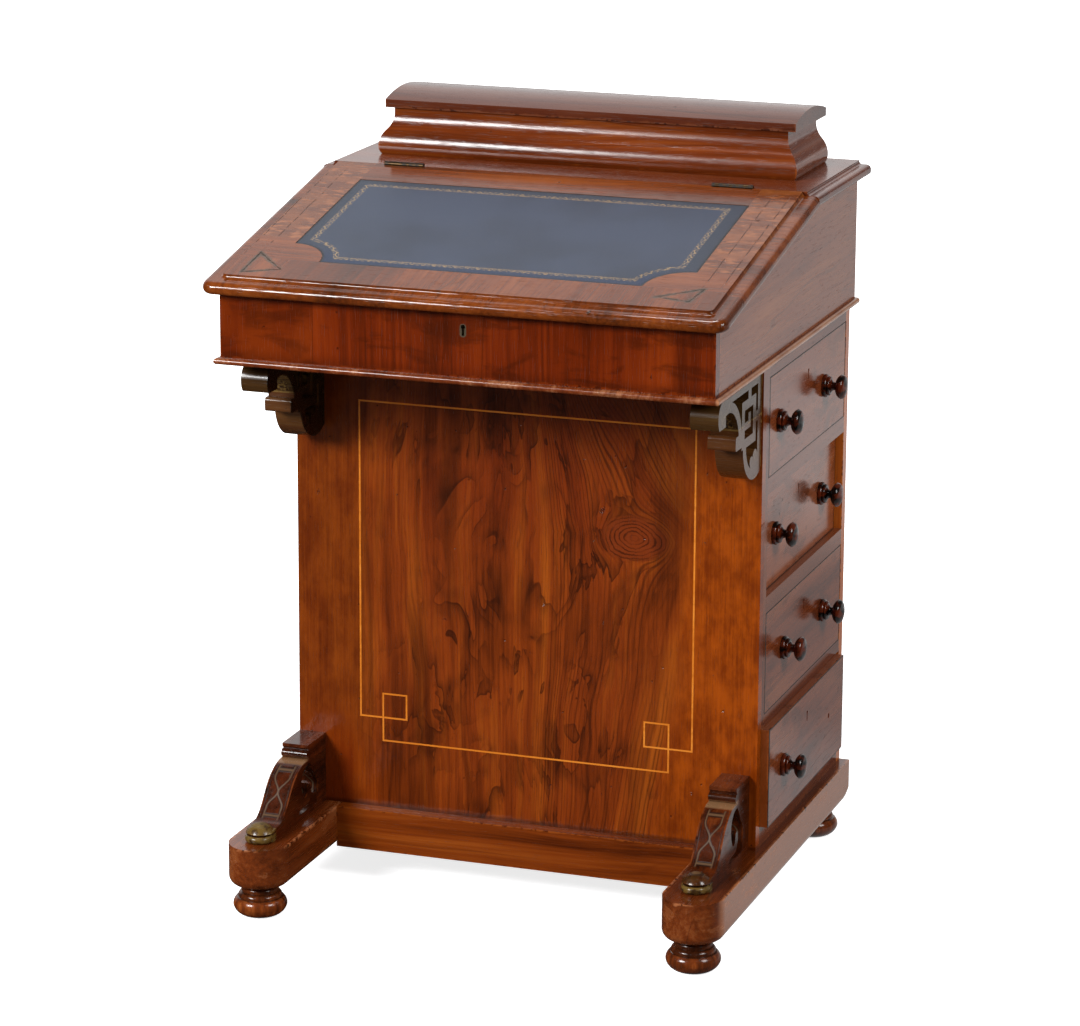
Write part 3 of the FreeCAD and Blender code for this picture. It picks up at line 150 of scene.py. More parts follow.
def studio_floor():
    """The floor keeps the shadow and glows to white away from the desk. The polish mirrors it in
    bands beyond the drawers, and dark everywhere else."""
    grid = bmesh.new()
    bmesh.ops.create_grid(grid, x_segments=1, y_segments=1, size=30)
    mesh = bpy.data.meshes.new("studio_floor")
    grid.to_mesh(mesh)
    grid.free()
    floor = bpy.data.objects.new("studio_floor", mesh)
    scene.collection.objects.link(floor)
    paint = bpy.data.materials.new("studio_floor")
    paint.use_nodes = True
    shader = paint.node_tree.nodes["Principled BSDF"]
    shader.inputs["Roughness"].default_value = 0.9
    shader.inputs["Specular IOR Level"].default_value = 0.0
    shader.inputs["Emission Color"].default_value = (1, 1, 1, 1)
    place = Wire(paint.node_tree.nodes.new("ShaderNodeTexCoord").outputs["Object"])
    rays = paint.node_tree.nodes.new("ShaderNodeLightPath").outputs
    seen, mirrored = Wire(rays["Is Camera Ray"]), Wire(rays["Is Glossy Ray"])
    x, y, _ = place.parts()
    away = (x * x + y * y).between(0.2, 3.0)
    colour = mirrored.mix(seen.mix(FLOOR_BOUNCE, FLOOR_COLOUR), FLOOR_MIRRORED)
    paint.node_tree.links.new(colour.socket, shader.inputs["Base Color"])
    mirror = 0.0
    for near, far, change in FLOOR_STEPS:
        mirror = y.between(near, far) * change + mirror
    mirror = mirror * x.between(0.15, 0.25)
    glow = (seen * (FLOOR_GLOW + away)).most(mirrored * mirror)
    paint.node_tree.links.new(glow.socket, shader.inputs["Emission Strength"])
    floor.data.materials.append(paint)


def soft_box(name, place, target, wide, tall, power):
    """A rectangular lamp that faces its target."""
    light = bpy.data.lights.new(name, "AREA")
    light.shape = "RECTANGLE"
    light.size, light.size_y = wide, tall
    light.energy = power
    lamp = bpy.data.objects.new(name, light)
    lamp.location = place
    way = Vector(target) - Vector(place)
    lamp.rotation_euler = way.to_track_quat("-Z", "Y").to_euler()
    scene.collection.objects.link(lamp)


studio_world()
studio_floor()
soft_box("front_box", (-1.7, -2.9, 2.0), (0, -0.1, 0.4), wide=1.2, tall=0.9, power=150)
soft_box("top_box", (-0.2, 0.1, 3.0), (0, 0.0, 0.7), wide=1.2, tall=0.3, power=34)
soft_box("side_box", (2.9, -1.0, 2.3), (0.2, 0, 0.4), wide=1.2, tall=1.2, power=70)

camera_data = bpy.data.cameras.new("camera")
camera_data.lens = CAMERA_LENS
camera_data.sensor_width = CAMERA_SENSOR
camera_data.shift_x, camera_data.shift_y = CAMERA_SHIFT
camera = bpy.data.objects.new("camera", camera_data)
turn = (Matrix.Rotation(math.radians(CAMERA_AZIMUTH), 4, "Z")
        @ Matrix.Rotation(math.radians(90 - CAMERA_ELEVATION), 4, "X")
        @ Matrix.Rotation(math.radians(CAMERA_ROLL), 4, "Z"))
camera.matrix_world = Matrix.Translation(CAMERA_PLACE) @ turn
scene.collection.objects.link(camera)
scene.camera = camera

# ------------------------------------------------------------------ sledge runners and feet
# Two sledge runners of solid walnut, each on two turned bun feet screwed up into it. They are
# the most knocked part of the desk: scuffed along the arrises, dark in the turned hollows.


def shade(red, green, blue):
    """A colour written as it looks on a screen, 0 to 255, as light."""
    tones = (value / 255 for value in (red, green, blue))
    return (*(t / 12.92 if t < 0.04045 else ((t + 0.055) / 1.055) ** 2.4 for t in tones), 1)


RUNNER_TONES = (shade(46, 18, 6), shade(108, 48, 16), shade(150, 86, 44))
# The pale of rubbed arrises, also used as the painted reflection on a runner's outer face.
RUNNER_RUB_AND_SHEEN = shade(180, 112, 70)
FOOT_TONES = (shade(32, 14, 6), shade(112, 50, 16), shade(168, 94, 42))
# Heights over the floor: where the bun begins to close in, and its two turned hollows.
FOOT_NECK, FOOT_HOLLOWS = (0.017, 0.023), (0.0202, 0.0256)
ALONG = {"x": (0, 0, 0), "y": (0, 0, -math.pi / 2), "z": (0, math.pi / 2, 0)}
ARRIS_WEAR = 0.0022
POLISH_INDEX = 1.42


def new_finish(name):
    """An empty polished finish: the material, its shader and the place on the desk."""
    material = bpy.data.materials.new(name)
    material.use_nodes = True
    shader = material.node_tree.nodes["Principled BSDF"]
    shader.inputs["IOR"].default_value = POLISH_INDEX
    place = Wire(material.node_tree.nodes.new("ShaderNodeTexCoord").outputs["Object"])
    return material, shader, place


def settle(shader, colour, rough, height, depth=0.0004, strength=0.5):
    """Joins a finish's colour, roughness and relief to its shader."""
    relief = height.node("Bump", (), {"Height": height, "Distance": depth, "Strength": strength})
    links = shader.id_data.links
    links.new(colour.socket, shader.inputs["Base Color"])
    links.new(rough.socket, shader.inputs["Roughness"])
    links.new(relief.socket, shader.inputs["Normal"])


def laid(place, along, shift):
    """The same place with the board's grain along X, cut from elsewhere in the tree."""
    return place.node("Mapping", (), {"Vector": place, "Location": shift,
                                      "Rotation": ALONG[along]})


def wandering(grain, by, reach):
    """Grain lines that drift sideways along the board."""
    drift = (grain.noise(by, 2.0) - 0.5) * reach
    return grain.shifted(grain.point(0.0, drift, drift))


def walnut(grain, tones, bands=34.0, contrast=1.0):
    """Colour, roughness and relief of old polished walnut."""
    dark, body, pale = tones
    lines = wandering(grain, (1.6, 8, 8), 0.05)
    broad = lines.noise((1.1, bands, bands), 4.0, 0.6, 0.3)
    fine = lines.noise((4.5, 260, 260), 3.0, 0.62)
    cloud = grain.noise((4, 8, 8), 3.0)
    tone = broad * 0.9 + fine * 0.5 + cloud * 0.6
    share = tone.node("MapRange", (), {"Value": tone, "From Min": 1.0 - 0.36 / contrast,
                                       "From Max": 1.0 + 0.36 / contrast})
    colour = share.node("ValToRGB", {"stops": ((0.0, dark), (0.5, body), (1.0, pale))},
                        {0: share})
    ink = 1 - abs(lines.noise((1.3, 16, 16), 3.0, 0.55, 0.5) - 0.5).between(0.0, 0.016)
    colour = (ink * 0.45 * cloud.between(0.42, 0.6)).mix(colour, dark)
    pores = grain.noise((50, 1500, 1500), 1.0).between(0.62, 0.72)
    colour = (pores * 0.4).mix(colour, dark)
    rough = 0.12 + cloud * 0.1 + pores * 0.2
    return colour, rough, fine * 0.35 - pores


def specks(place, colour, size, many, ink=shade(16, 5, 1)):
    """Small dark dents and worm holes scattered over the polish."""
    ragged = (place.noise((210, 210, 210), 3.0, 0.7) - 0.5) * (0.5 / size)
    cells = place.node("TexVoronoi", (), {
        "Vector": place.shifted(place.point(ragged, ragged, ragged * 1.6)), "Scale": size,
        "Randomness": 1.0})
    outputs = cells.socket.node.outputs
    chosen = Wire(outputs["Color"]).parts()[0].between(1 - many, 1 - many + 0.02)
    spot = chosen * (1 - Wire(outputs["Distance"]).between(0.04, 0.13))
    return (spot * 0.8).mix(colour, ink), spot


def arrises(place, low, high):
    """How far a place on a boxy piece is from the nearest of its edges."""
    spans = []
    for part, least, most in zip(place.parts(), low, high):
        spans.append((part - least).least(most - part))
    x, y, z = spans
    return x.least(y).most(x.most(y).least(z))


def worn(place, colour, low, high, pale, ink, reach=ARRIS_WEAR):
    """Rubbed and chipped edges: paler where rubbed through, dark where chips hold dirt."""
    ragged = place.noise((60, 60, 60), 3.0, 0.6)
    edge = 1 - (arrises(place, low, high) + (ragged - 0.5) * reach * 3).between(
        0.0, reach)
    chips = place.noise((150, 150, 150), 2.0, 0.6).between(0.52, 0.6)
    return (edge * 0.75).mix(colour, chips.mix(pale, ink))


def dress(material, *nodes):
    """Puts one finish on every slot of the given pieces."""
    for node in nodes:
        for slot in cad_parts[node].material_slots:
            slot.material = material


def own_place(node):
    """Where in the tree a piece's own figure is cut from."""
    return tuple(0.37 * (index + 1) * (len(node) + ord(node[-1]) % 11 + 3 * ord(node[0]) % 7)
                 for index in range(3))


def runner_finish(node, outer_sheen):
    """Dented all over by feet and rubbed pale on its arrises. Its outer face is painted pale, by
    the given share, for the reflection it shows.
    """
    low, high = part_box(node)
    material, shader, place = new_finish(node + "_finish")
    grain = laid(place, "y", own_place(node))
    colour, rough, height = walnut(grain, RUNNER_TONES, 30.0, 1.1)
    scuffs = place.noise((34, 14, 46), 5.0, 0.7).between(0.54, 0.66)
    colour = (scuffs * 0.35).mix(colour, RUNNER_TONES[2])
    # Painted reflection: the outer face is made paler, standing for the bright floor it mirrors.
    flank = (place.parts()[0] - high[0]).between(-0.004, -0.0002)
    colour = (flank * (outer_sheen * 0.7 + scuffs * outer_sheen * 0.3)).mix(colour, RUNNER_RUB_AND_SHEEN)
    colour, spot = specks(place, colour, 130.0, 0.4)
    colour = worn(place, colour, low, high, RUNNER_RUB_AND_SHEEN, RUNNER_TONES[0], 0.0032)
    settle(shader, colour, rough + scuffs * 0.15 + spot * 0.2, height - spot * 2, 0.0004, 0.2)
    dress(material, node)


def foot_finish(node):
    """Rubbed orange on the swell of the bun, with old polish black in the turned hollows."""
    low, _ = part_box(node)
    material, shader, place = new_finish(node + "_finish")
    colour, rough, height = walnut(laid(place, "z", own_place(node)), FOOT_TONES, 60.0, 1.3)
    up = place.parts()[2] - low[2]
    grime = up.between(*FOOT_NECK) * place.noise((40, 40, 40), 3.0).between(0.3, 0.6)
    for hollow in FOOT_HOLLOWS:
        grime = grime.most(1 - abs(up - hollow).between(0.0003, 0.0012))
    # The lowest few millimetres, next to the floor, are darkened too.
    grime = grime.most(1 - up.between(0.001, 0.004))
    colour = (grime * 0.75).mix(colour, FOOT_TONES[0])
    colour, spot = specks(place, colour, 150.0, 0.35)
    settle(shader, colour, rough, height - spot * 2, 0.0004, 0.15)
    dress(material, node)


# The number after each side is how much painted reflection its runner's outer face gets.
for side, outer_sheen in (("left", 0.0), ("right", 0.85)):
    runner_finish("runner_" + side, outer_sheen)
    for end in ("front", "rear"):
        foot_finish(f"bun_foot_{end}_{side}")

# ------------------------------------------------------------------ stretchers
# Two flat rails of solid walnut tie the runners together, one under the pedestal's front and one
# under its back. They are planed boards, tenoned into the runners' inner sides.

RAIL_TONES = (shade(66, 22, 3), shade(118, 50, 9), shade(146, 72, 20))


def board(node, along, tones, bands=34.0, contrast=1.0, spots=0.16, wear=ARRIS_WEAR,
          relief=0.12):
    """Finishes one wooden piece of the desk, with a grain of its own."""
    low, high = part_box(node)
    material, shader, place = new_finish(node + "_finish")
    grain = laid(place, along, own_place(node))
    colour, rough, height = walnut(grain, tones, bands, contrast)
    colour, spot = specks(place, colour, 55.0, spots)
    if wear:
        colour = worn(place, colour, low, high, tones[2], tones[0], wear)
    settle(shader, colour, rough + spot * 0.2, height - spot * 2, 0.0004, relief)
    dress(material, node)


for rail in ("plinth_rail_front", "plinth_rail_back"):
    board(rail, "x", RAIL_TONES, contrast=1.3, wear=0.0016)

# ------------------------------------------------------------------ pedestal carcase
# A deal carcase with its back and its side away from the drawers veneered in walnut. The floor
# and the drawer bearers are bare deal.

DEAL_TONES = (shade(92, 56, 26), shade(140, 94, 52), shade(168, 122, 76))
SIDE_TONES = (shade(72, 28, 11), shade(122, 60, 28), shade(150, 86, 44))
SIDE_RELIEF = 0.016

for inner, way in (("pedestal_bottom", "x"), ("drawer_bearers", "y")):
    board(inner, way, DEAL_TONES, 24.0, spots=0.05)
board("back_panel", "z", SIDE_TONES, 18.0, relief=SIDE_RELIEF)
board("left_side", "z", SIDE_TONES, 26.0, relief=SIDE_RELIEF)

# ------------------------------------------------------------------ front panel
# The pedestal's front, veneered in one figured sheet with a knot in it, the grain upright. A frame
# of thin boxwood stringing is let into grooves in it and glued in flush.

PANEL_TONES = (shade(66, 22, 3), shade(127, 52, 9), shade(160, 78, 15))
SAPWOOD_LEFT = (shade(88, 31, 2), shade(122, 53, 6))
SAPWOOD_RIGHT = (shade(110, 41, 1), shade(160, 71, 5))
RED_HEART = shade(114, 38, 7)
LINE_TONE, EYE_TONE, DENT_TONE = shade(40, 14, 4), shade(116, 46, 14), shade(46, 12, 3)
KNOT_X, KNOT_Z, KNOT_RADIUS, KNOT_SQUAT = 0.1226, 0.4090, 0.032, 1.45
FULL_TURN, GROWTH_PITCH, EYE_WAVE = 6.283, 0.0048, 1150


def front_panel_finish():
    """The growth lines lean over the knot, part round it and run down straight below it."""
    material, shader, place = new_finish("front_panel_finish")
    x, _, z = place.parts()
    dx, dz = x - KNOT_X, (z - KNOT_Z) * KNOT_SQUAT
    reach = dx * dx + dz * dz
    parted = dx * (1 - KNOT_RADIUS ** 2 / reach.most(KNOT_RADIUS ** 2))
    lean = (z - KNOT_Z).most(0.0) * 0.5 + (KNOT_Z - z).most(0.0) * 0.13
    middle = 1 - abs(x + 0.01).between(0.09, 0.2)
    sway = (place.noise((8, 1, 3.0), 3.0) - 0.5) * (0.012 + middle * 0.06)
    flow = parted + lean * x.between(-0.03, 0.06) + sway
    lines = place.point(flow, 0.0, z)
    broad = lines.noise((30, 1, 1.6), 4.0, 0.6)
    fine = place.noise((330, 1, 9), 3.0, 0.65)
    cloud = place.noise((7, 1, 5), 3.0)
    tone = broad * 1.1 + fine * 0.4 + cloud * 0.6
    share = tone.node("MapRange", (), {"Value": tone, "From Min": 0.78, "From Max": 1.32})
    colour = share.node("ValToRGB", {"stops": (
        (0.0, PANEL_TONES[0]), (0.5, PANEL_TONES[1]), (1.0, PANEL_TONES[2]))}, {0: share})
    heart = middle * (0.35 + z.between(0.34, 0.45) * 0.65) * cloud.between(0.42, 0.55)
    colour = (heart * 0.5).mix(colour, RED_HEART)
    streak = lines.noise((38, 1, 2.2), 4.0, 0.55, 0.3).between(0.5, 0.7)
    colour = (streak * (0.75 - x.between(-0.1, 0.0) * 0.45)).mix(colour, PANEL_TONES[0])
    for by, turns, strength in (((10, 1, 3.6), 10.0, 0.5), ((21, 1, 8.0), 5.0, 0.45)):
        swirl = lines.noise(by, 4.0, 0.52, 0.7) * turns
        swirl = swirl.worked("FRACT", swirl)
        ended = 1 - swirl.between(0.95, 0.99)
        flame = swirl.between(0.3, 0.95) * ended
        flame = flame * strength + swirl.between(0.84, 0.95) * ended * 0.3
        shown = place.noise((by[0] * 0.9, 1, by[0] * 0.7), 2.0).between(0.42, 0.6)
        colour = (flame * shown * (0.2 + middle * 0.8)).mix(colour, LINE_TONE)
    growth = flow * (FULL_TURN / GROWTH_PITCH) + lines.noise((70, 1, 3), 3.0, 0.6) * 13
    band = (0.4 + flow.between(-0.11, -0.07) * 0.6) * (1 - x.between(0.15, 0.175))
    strong = (0.1 + place.noise((14, 1, 5), 2.0).between(0.35, 0.65) * 0.25
              + lines.noise((150, 1, 1.2), 1.0).between(0.45, 0.62) * 0.25)
    growth = growth.worked("SINE", growth).between(0.1, 1.0) * band
    colour = (growth * strong).mix(colour, LINE_TONE)
    radius = reach.worked("SQRT", reach) + (place.noise((34, 1, 34), 3.0) - 0.5) * 0.018
    eye = radius.worked("SINE", radius * EYE_WAVE + fine * 2.5)
    within = 1 - radius.between(KNOT_RADIUS * 0.9, KNOT_RADIUS * 1.3)
    faded = 0.3 + radius.between(0.0, 0.012) * place.noise((60, 1, 60), 2.0).between(0.3, 0.6)
    ringed = (eye.between(0.1, 1.0) * faded * 0.65).mix(EYE_TONE, LINE_TONE)
    colour = (within * 0.85).mix(colour, ringed)
    burnt = x.between(0.136, 0.152) * z.between(0.3, 0.4) * (1 - z.between(0.44, 0.53))
    colour = (burnt * 0.5).mix(colour, LINE_TONE)
    mottle = (place.noise((38, 1, 22), 4.0, 0.65) * 0.9 + fine * 0.4).between(0.46, 0.84)
    drift = (place.noise((12, 1, 6), 3.0) - 0.5) * 0.04
    gold_right = (x + drift - (z - 0.2) * 0.1).between(0.146, 0.18)
    gold_left = (0 - x - drift * 0.5).between(0.172, 0.2)
    colour = (gold_right * 0.85).mix(colour, mottle.mix(*SAPWOOD_RIGHT))
    colour = (gold_left * 0.8).mix(colour, mottle.mix(*SAPWOOD_LEFT))
    ruddy = (0 - x).between(0.165, 0.21) * (1 - z.between(0.12, 0.21))
    colour = (ruddy * 0.6).mix(colour, RED_HEART)
    # Painted shadow: the top of the panel is darkened where the case above overhangs it.
    colour = (z.between(0.47, 0.585) * 0.6).mix(colour, PANEL_TONES[0])
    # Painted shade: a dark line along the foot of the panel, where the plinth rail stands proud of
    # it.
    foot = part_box("front_panel")[0][2]
    colour = ((1 - (z - foot).between(0.002, 0.006)) * 0.6).mix(colour, LINE_TONE)
    colour, spot = specks(place, colour, 34.0, 0.1, DENT_TONE)
    colour, dent = specks(place, colour, 90.0, 0.14)
    pores = place.noise((1500, 1, 50), 1.0).between(0.6, 0.72)
    colour = (pores * 0.3).mix(colour, PANEL_TONES[0])
    settle(shader, colour, 0.14 + cloud * 0.1 + pores * 0.1,
           fine * 0.3 - pores - (spot + dent) * 2)
    dress(material, "front_panel")


front_panel_finish()
board("boxwood_stringing", "x", (shade(176, 92, 20), shade(206, 118, 34), shade(226, 142, 54)),
      spots=0, wear=0)

# ------------------------------------------------------------------ drawer side
# Stiles and rails of solid walnut, jointed and glued, frame the four drawers. On the far side four
# thin false fronts, made to match, are let into the side.

FRONT_TONES = (shade(60, 24, 12), shade(124, 60, 31), shade(150, 86, 50))
STILE_TONES = (shade(54, 19, 5), shade(98, 42, 16), shade(138, 74, 38))
# Painted light: golden tones for faces that face the front and catch the light, the rear stile's
# jamb and the near ends of the drawer fronts.
LIT_EDGE_TONES = (shade(96, 40, 10), shade(184, 92, 30), shade(214, 124, 52))
# A paler colour painted as the reflection on the polish about the second drawer, and its share.
PAINTED_SHEEN, PAINTED_SHEEN_SHARE = shade(178, 108, 74), 0.3


def with_painted_sheen(place, colour):
    """Painted reflection: a paler band about the height of the second drawer, for the sheen of
    the polish there.
    """
    (_, _, low), (_, _, high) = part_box("drawer_2_front")
    z = place.parts()[2]
    sheen_band = z.between(low - 0.06, low + 0.01) * (1 - z.between(high - 0.05, high + 0.03))
    return (sheen_band * PAINTED_SHEEN_SHARE).mix(colour, PAINTED_SHEEN)


def frame_finish(node, along):
    """The stile and rails share the painted sheen of the drawers that they frame."""
    low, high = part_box(node)
    material, shader, place = new_finish(node + "_finish")
    colour, rough, height = walnut(laid(place, along, own_place(node)), STILE_TONES)
    colour, spot = specks(place, with_painted_sheen(place, colour), 55.0, 0.16)
    colour = worn(place, colour, low, high, STILE_TONES[2], STILE_TONES[0])
    settle(shader, colour, rough + spot * 0.2, height - spot * 2, 0.0004, SIDE_RELIEF)
    dress(material, node)


frame_finish("front_stile", "z")
frame_finish("drawer_rails", "y")
# Painted light: the rear stile takes these light tones for the light on its front-facing jamb.
board("rear_stile", "z", LIT_EDGE_TONES, relief=SIDE_RELIEF)
board("sham_drawer_fronts", "y", FRONT_TONES, 20.0, wear=0, relief=SIDE_RELIEF)

# ------------------------------------------------------------------ drawers
# Four drawers with walnut fronts, dovetailed deal boxes and brass locks in mortises. The turned
# knobs are of ebonised walnut, each glued into the front by its spigot.

EBONISED_AND_SHADE = shade(12, 7, 5)
RUBBED_BROWN = shade(88, 32, 12)


def ebonised(name, nodes):
    """Black polish that hands have rubbed back to brown walnut in patches."""
    material, shader, place = new_finish(name)
    shader.inputs["IOR"].default_value = 1.36
    cloud = place.noise((70, 70, 110), 3.0)
    colour = cloud.between(0.4, 0.58).mix(EBONISED_AND_SHADE, RUBBED_BROWN)
    settle(shader, colour, 0.12 + cloud * 0.1, cloud, 0.0003, 0.1)
    dress(material, *nodes)


def drawer_front_finish(node):
    """Veneer with smoky figure, and a painted dark line where it meets the frame, for the gap
    and the shade in it.
    """
    low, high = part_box(node)
    material, shader, place = new_finish(node + "_finish")
    x, y, z = place.parts()
    colour, rough, height = walnut(laid(place, "y", own_place(node)), FRONT_TONES, 22.0, 1.1)
    smoke = place.shifted(own_place(node)).noise((1, 11, 26), 4.0, 0.6, 0.5).between(0.48, 0.66)
    colour = (smoke * 0.5).mix(with_painted_sheen(place, colour), FRONT_TONES[0])
    colour, spot = specks(place, colour, 55.0, 0.25)
    colour = worn(place, colour, low, high, FRONT_TONES[2], FRONT_TONES[0], 0.003)
    # Painted shade: a dark line along the joint with the frame, for the gap and the shade in it.
    rim = (y - low[1]).between(0.0015, 0.0042) * (high[1] - y).between(0.0005, 0.0025)
    rim = 1 - rim * (z - low[2]).least(high[2] - z).between(0.0006, 0.0017)
    rim = rim * (x - high[0]).between(-0.0008, -0.0004)
    colour = (rim * 0.9).mix(colour, EBONISED_AND_SHADE)
    # Painted light on the near end of the front, which faces the front.
    lit_near_end = 1 - (y - low[1]).between(0.0003, 0.0008)
    colour = (lit_near_end * (1 - rim) * 0.5).mix(colour, LIT_EDGE_TONES[1])
    settle(shader, colour, rough + (spot + rim) * 0.2, height - spot * 2, 0.0004, SIDE_RELIEF)
    dress(material, node)


for number in "1234":
    drawer_front_finish(f"drawer_{number}_front")
    board(f"drawer_{number}_box", "x", DEAL_TONES, 24.0, spots=0.05)
ebonised("knob_polish", ["sham_knobs"] + [f"drawer_{n}_knobs" for n in "1234"])


def old_metal(name, nodes, bright, tarnish):
    """Brass with cloudy tarnish over it, which is duller than the metal."""
    material, shader, place = new_finish(name)
    shader.inputs["IOR"].default_value = 1.5
    cloud = place.noise((220, 220, 220), 4.0, 0.6)
    dull = cloud.between(0.42, 0.6)
    settle(shader, dull.mix(bright, tarnish), 0.28 + dull * 0.3, cloud, 0.0003, 0.2)
    shader.id_data.links.new((1 - dull * 0.6).socket, shader.inputs["Metallic"])
    dress(material, *nodes)


old_metal("lock_metal", [f"drawer_{n}_lock" for n in "1234"] + ["lid_lock"],
          shade(150, 132, 96), shade(60, 46, 30))

# ------------------------------------------------------------------ scroll brackets
# Solid walnut brackets glued to the runners and the panel. Straps that cross are cut into the
# shin between two border lines, and old gilding shows through on the round toes, its brightest
# patches painted highlights.

SCROLL_TONES = (shade(24, 9, 4), shade(76, 30, 9), shade(122, 60, 26))
GILT_AND_HIGHLIGHT = (shade(46, 32, 12), shade(108, 86, 40), shade(156, 134, 84))
TOE_REACH, TOE_CREASE, TOE_TOP = 0.026, 0.0092, 0.0215
# Pale dust for the middle of the cut lines, also used as the painted highlight under the bead.
SHIN_DUST_AND_HIGHLIGHT = shade(148, 112, 78)
# Places on the shin: up the bracket as shares of its height, and across it in metres.
SHIN_FOOT, SHIN_HEAD = (0.2, 0.22), (0.755, 0.775)
LIP_HIGHLIGHT_FOOT, LIP_HIGHLIGHT_HEAD = (0.77, 0.785), (0.825, 0.84)
BEAD_FOOT, BEAD_HEAD = (0.835, 0.85), (0.925, 0.945)
STRAP_FOOT, STRAP_HEAD, STRAP_SPREAD = 0.24, 0.73, 0.0086
SHIN_TALL, SHIN_BORDER, SHIN_SIDE = 0.075, 0.0118, (0.0149, 0.015)


def scroll_finish(node, dome_gilt):
    """The cut lines are painted dark for the shade in them, with dust in their middles. The
    gilding on the toes is worn, most of it on the bracket by the drawers, and its brightest
    patches are painted highlights.
    """
    low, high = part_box(node)
    material, shader, place = new_finish(node + "_finish")
    x, y, z = place.parts()
    colour, rough, height = walnut(laid(place, "y", own_place(node)), SCROLL_TONES, 34.0, 1.2)
    across = abs(x - (low[0] + high[0]) / 2)
    lift = z - low[2]
    up = lift / (high[2] - low[2])
    on_shin = up.between(*SHIN_FOOT) * (1 - up.between(*SHIN_HEAD))
    straps = abs(across - abs(up - 0.5).between(0.0, 0.17) * STRAP_SPREAD)
    closed = abs(up - STRAP_FOOT).least(abs(up - STRAP_HEAD)) * SHIN_TALL
    straps = straps.least(closed + (across - (STRAP_SPREAD + 0.0002)).most(0.0))
    border = 1 - abs(across - SHIN_BORDER).between(0.0003, 0.001)
    shaded_cuts = (1 - straps.between(0.0010, 0.0020)).most(border * 0.6) * on_shin
    dust = (1 - straps.between(0.0003, 0.0010)) * on_shin
    grime = place.noise((60, 60, 60), 4.0, 0.6)
    colour = (grime.between(0.5, 0.62) * 0.5).mix(colour, SCROLL_TONES[0])
    # Painted shade: the cut lines and border lines are darkened for the shade in them.
    colour = (shaded_cuts * 0.85).mix(colour, SCROLL_TONES[0])
    colour = (dust * 0.32).mix(colour, SHIN_DUST_AND_HIGHLIGHT)
    flank = across.between(*SHIN_SIDE)
    rub = across.between(0.0128, 0.0146) * (1 - flank) * (1 - grime.between(0.44, 0.6))
    colour = (rub * on_shin * 0.7).mix(colour, SCROLL_TONES[2])
    # Painted shade: the shin's sides are darkened towards the back, in the recess by the panel.
    recess_shade = flank * on_shin * (y - low[1]).between(0.07, 0.1)
    colour = (recess_shade * 0.6).mix(colour, SCROLL_TONES[0])
    bead = up.between(*BEAD_FOOT) * (1 - up.between(*BEAD_HEAD))
    colour = (bead * 0.6).mix(colour, SCROLL_TONES[0])
    # Painted highlight: a pale band just under the bead, for the light along its lower edge.
    lip_highlight = up.between(*LIP_HIGHLIGHT_FOOT) * (1 - up.between(*LIP_HIGHLIGHT_HEAD))
    lip_highlight = lip_highlight * (1 - (y - low[1]).between(0.11, 0.12))
    colour = (lip_highlight * 0.6).mix(colour, SHIN_DUST_AND_HIGHLIGHT)
    toe = (low[1] + TOE_REACH - y).between(-0.001, 0.002) * (1 - lift.between(
        TOE_TOP - 0.001, TOE_TOP))
    # The toes are painted with worn gilding, and its brightest patches are painted highlights.
    patch = place.noise((120, 120, 160), 4.0, 0.6)
    gilt_and_highlight = patch.between(0.62, 0.74).mix(patch.between(0.34, 0.52).mix(*GILT_AND_HIGHLIGHT[:2]),
                                         GILT_AND_HIGHLIGHT[2])
    crease = 1 - abs(lift - TOE_CREASE).between(0.0005, 0.0013)
    shown = toe * (1 - crease) * (1 - lift.between(TOE_CREASE, TOE_CREASE + 0.001)
                                  * (1 - dome_gilt))
    colour = (shown * 0.85).mix(colour, gilt_and_highlight)
    # Painted shade: the crease between the two lobes of the toe is darkened.
    colour = (crease * toe * 0.8).mix(colour, SCROLL_TONES[0])
    colour, spot = specks(place, colour, 120.0, 0.3)
    settle(shader, colour, rough + shown * 0.08 + shaded_cuts * 0.3,
           height * 0.3 - (shaded_cuts + crease * toe) * 1.6 - spot, 0.0006, 0.4)
    dress(material, node)


scroll_finish("scroll_bracket_left", 0.9)
scroll_finish("scroll_bracket_right", 0.15)

# ------------------------------------------------------------------ fret brackets
# Sawn walnut brackets screwed up under the case, darkened to an olive black, with a leaf cut
# into the step below the roll.

FRET_TONES = (shade(24, 14, 5), shade(66, 42, 17), shade(140, 112, 60))
FRET_BROWN = shade(94, 52, 26)
LEAF_DEPTH = (0.036, 0.049)


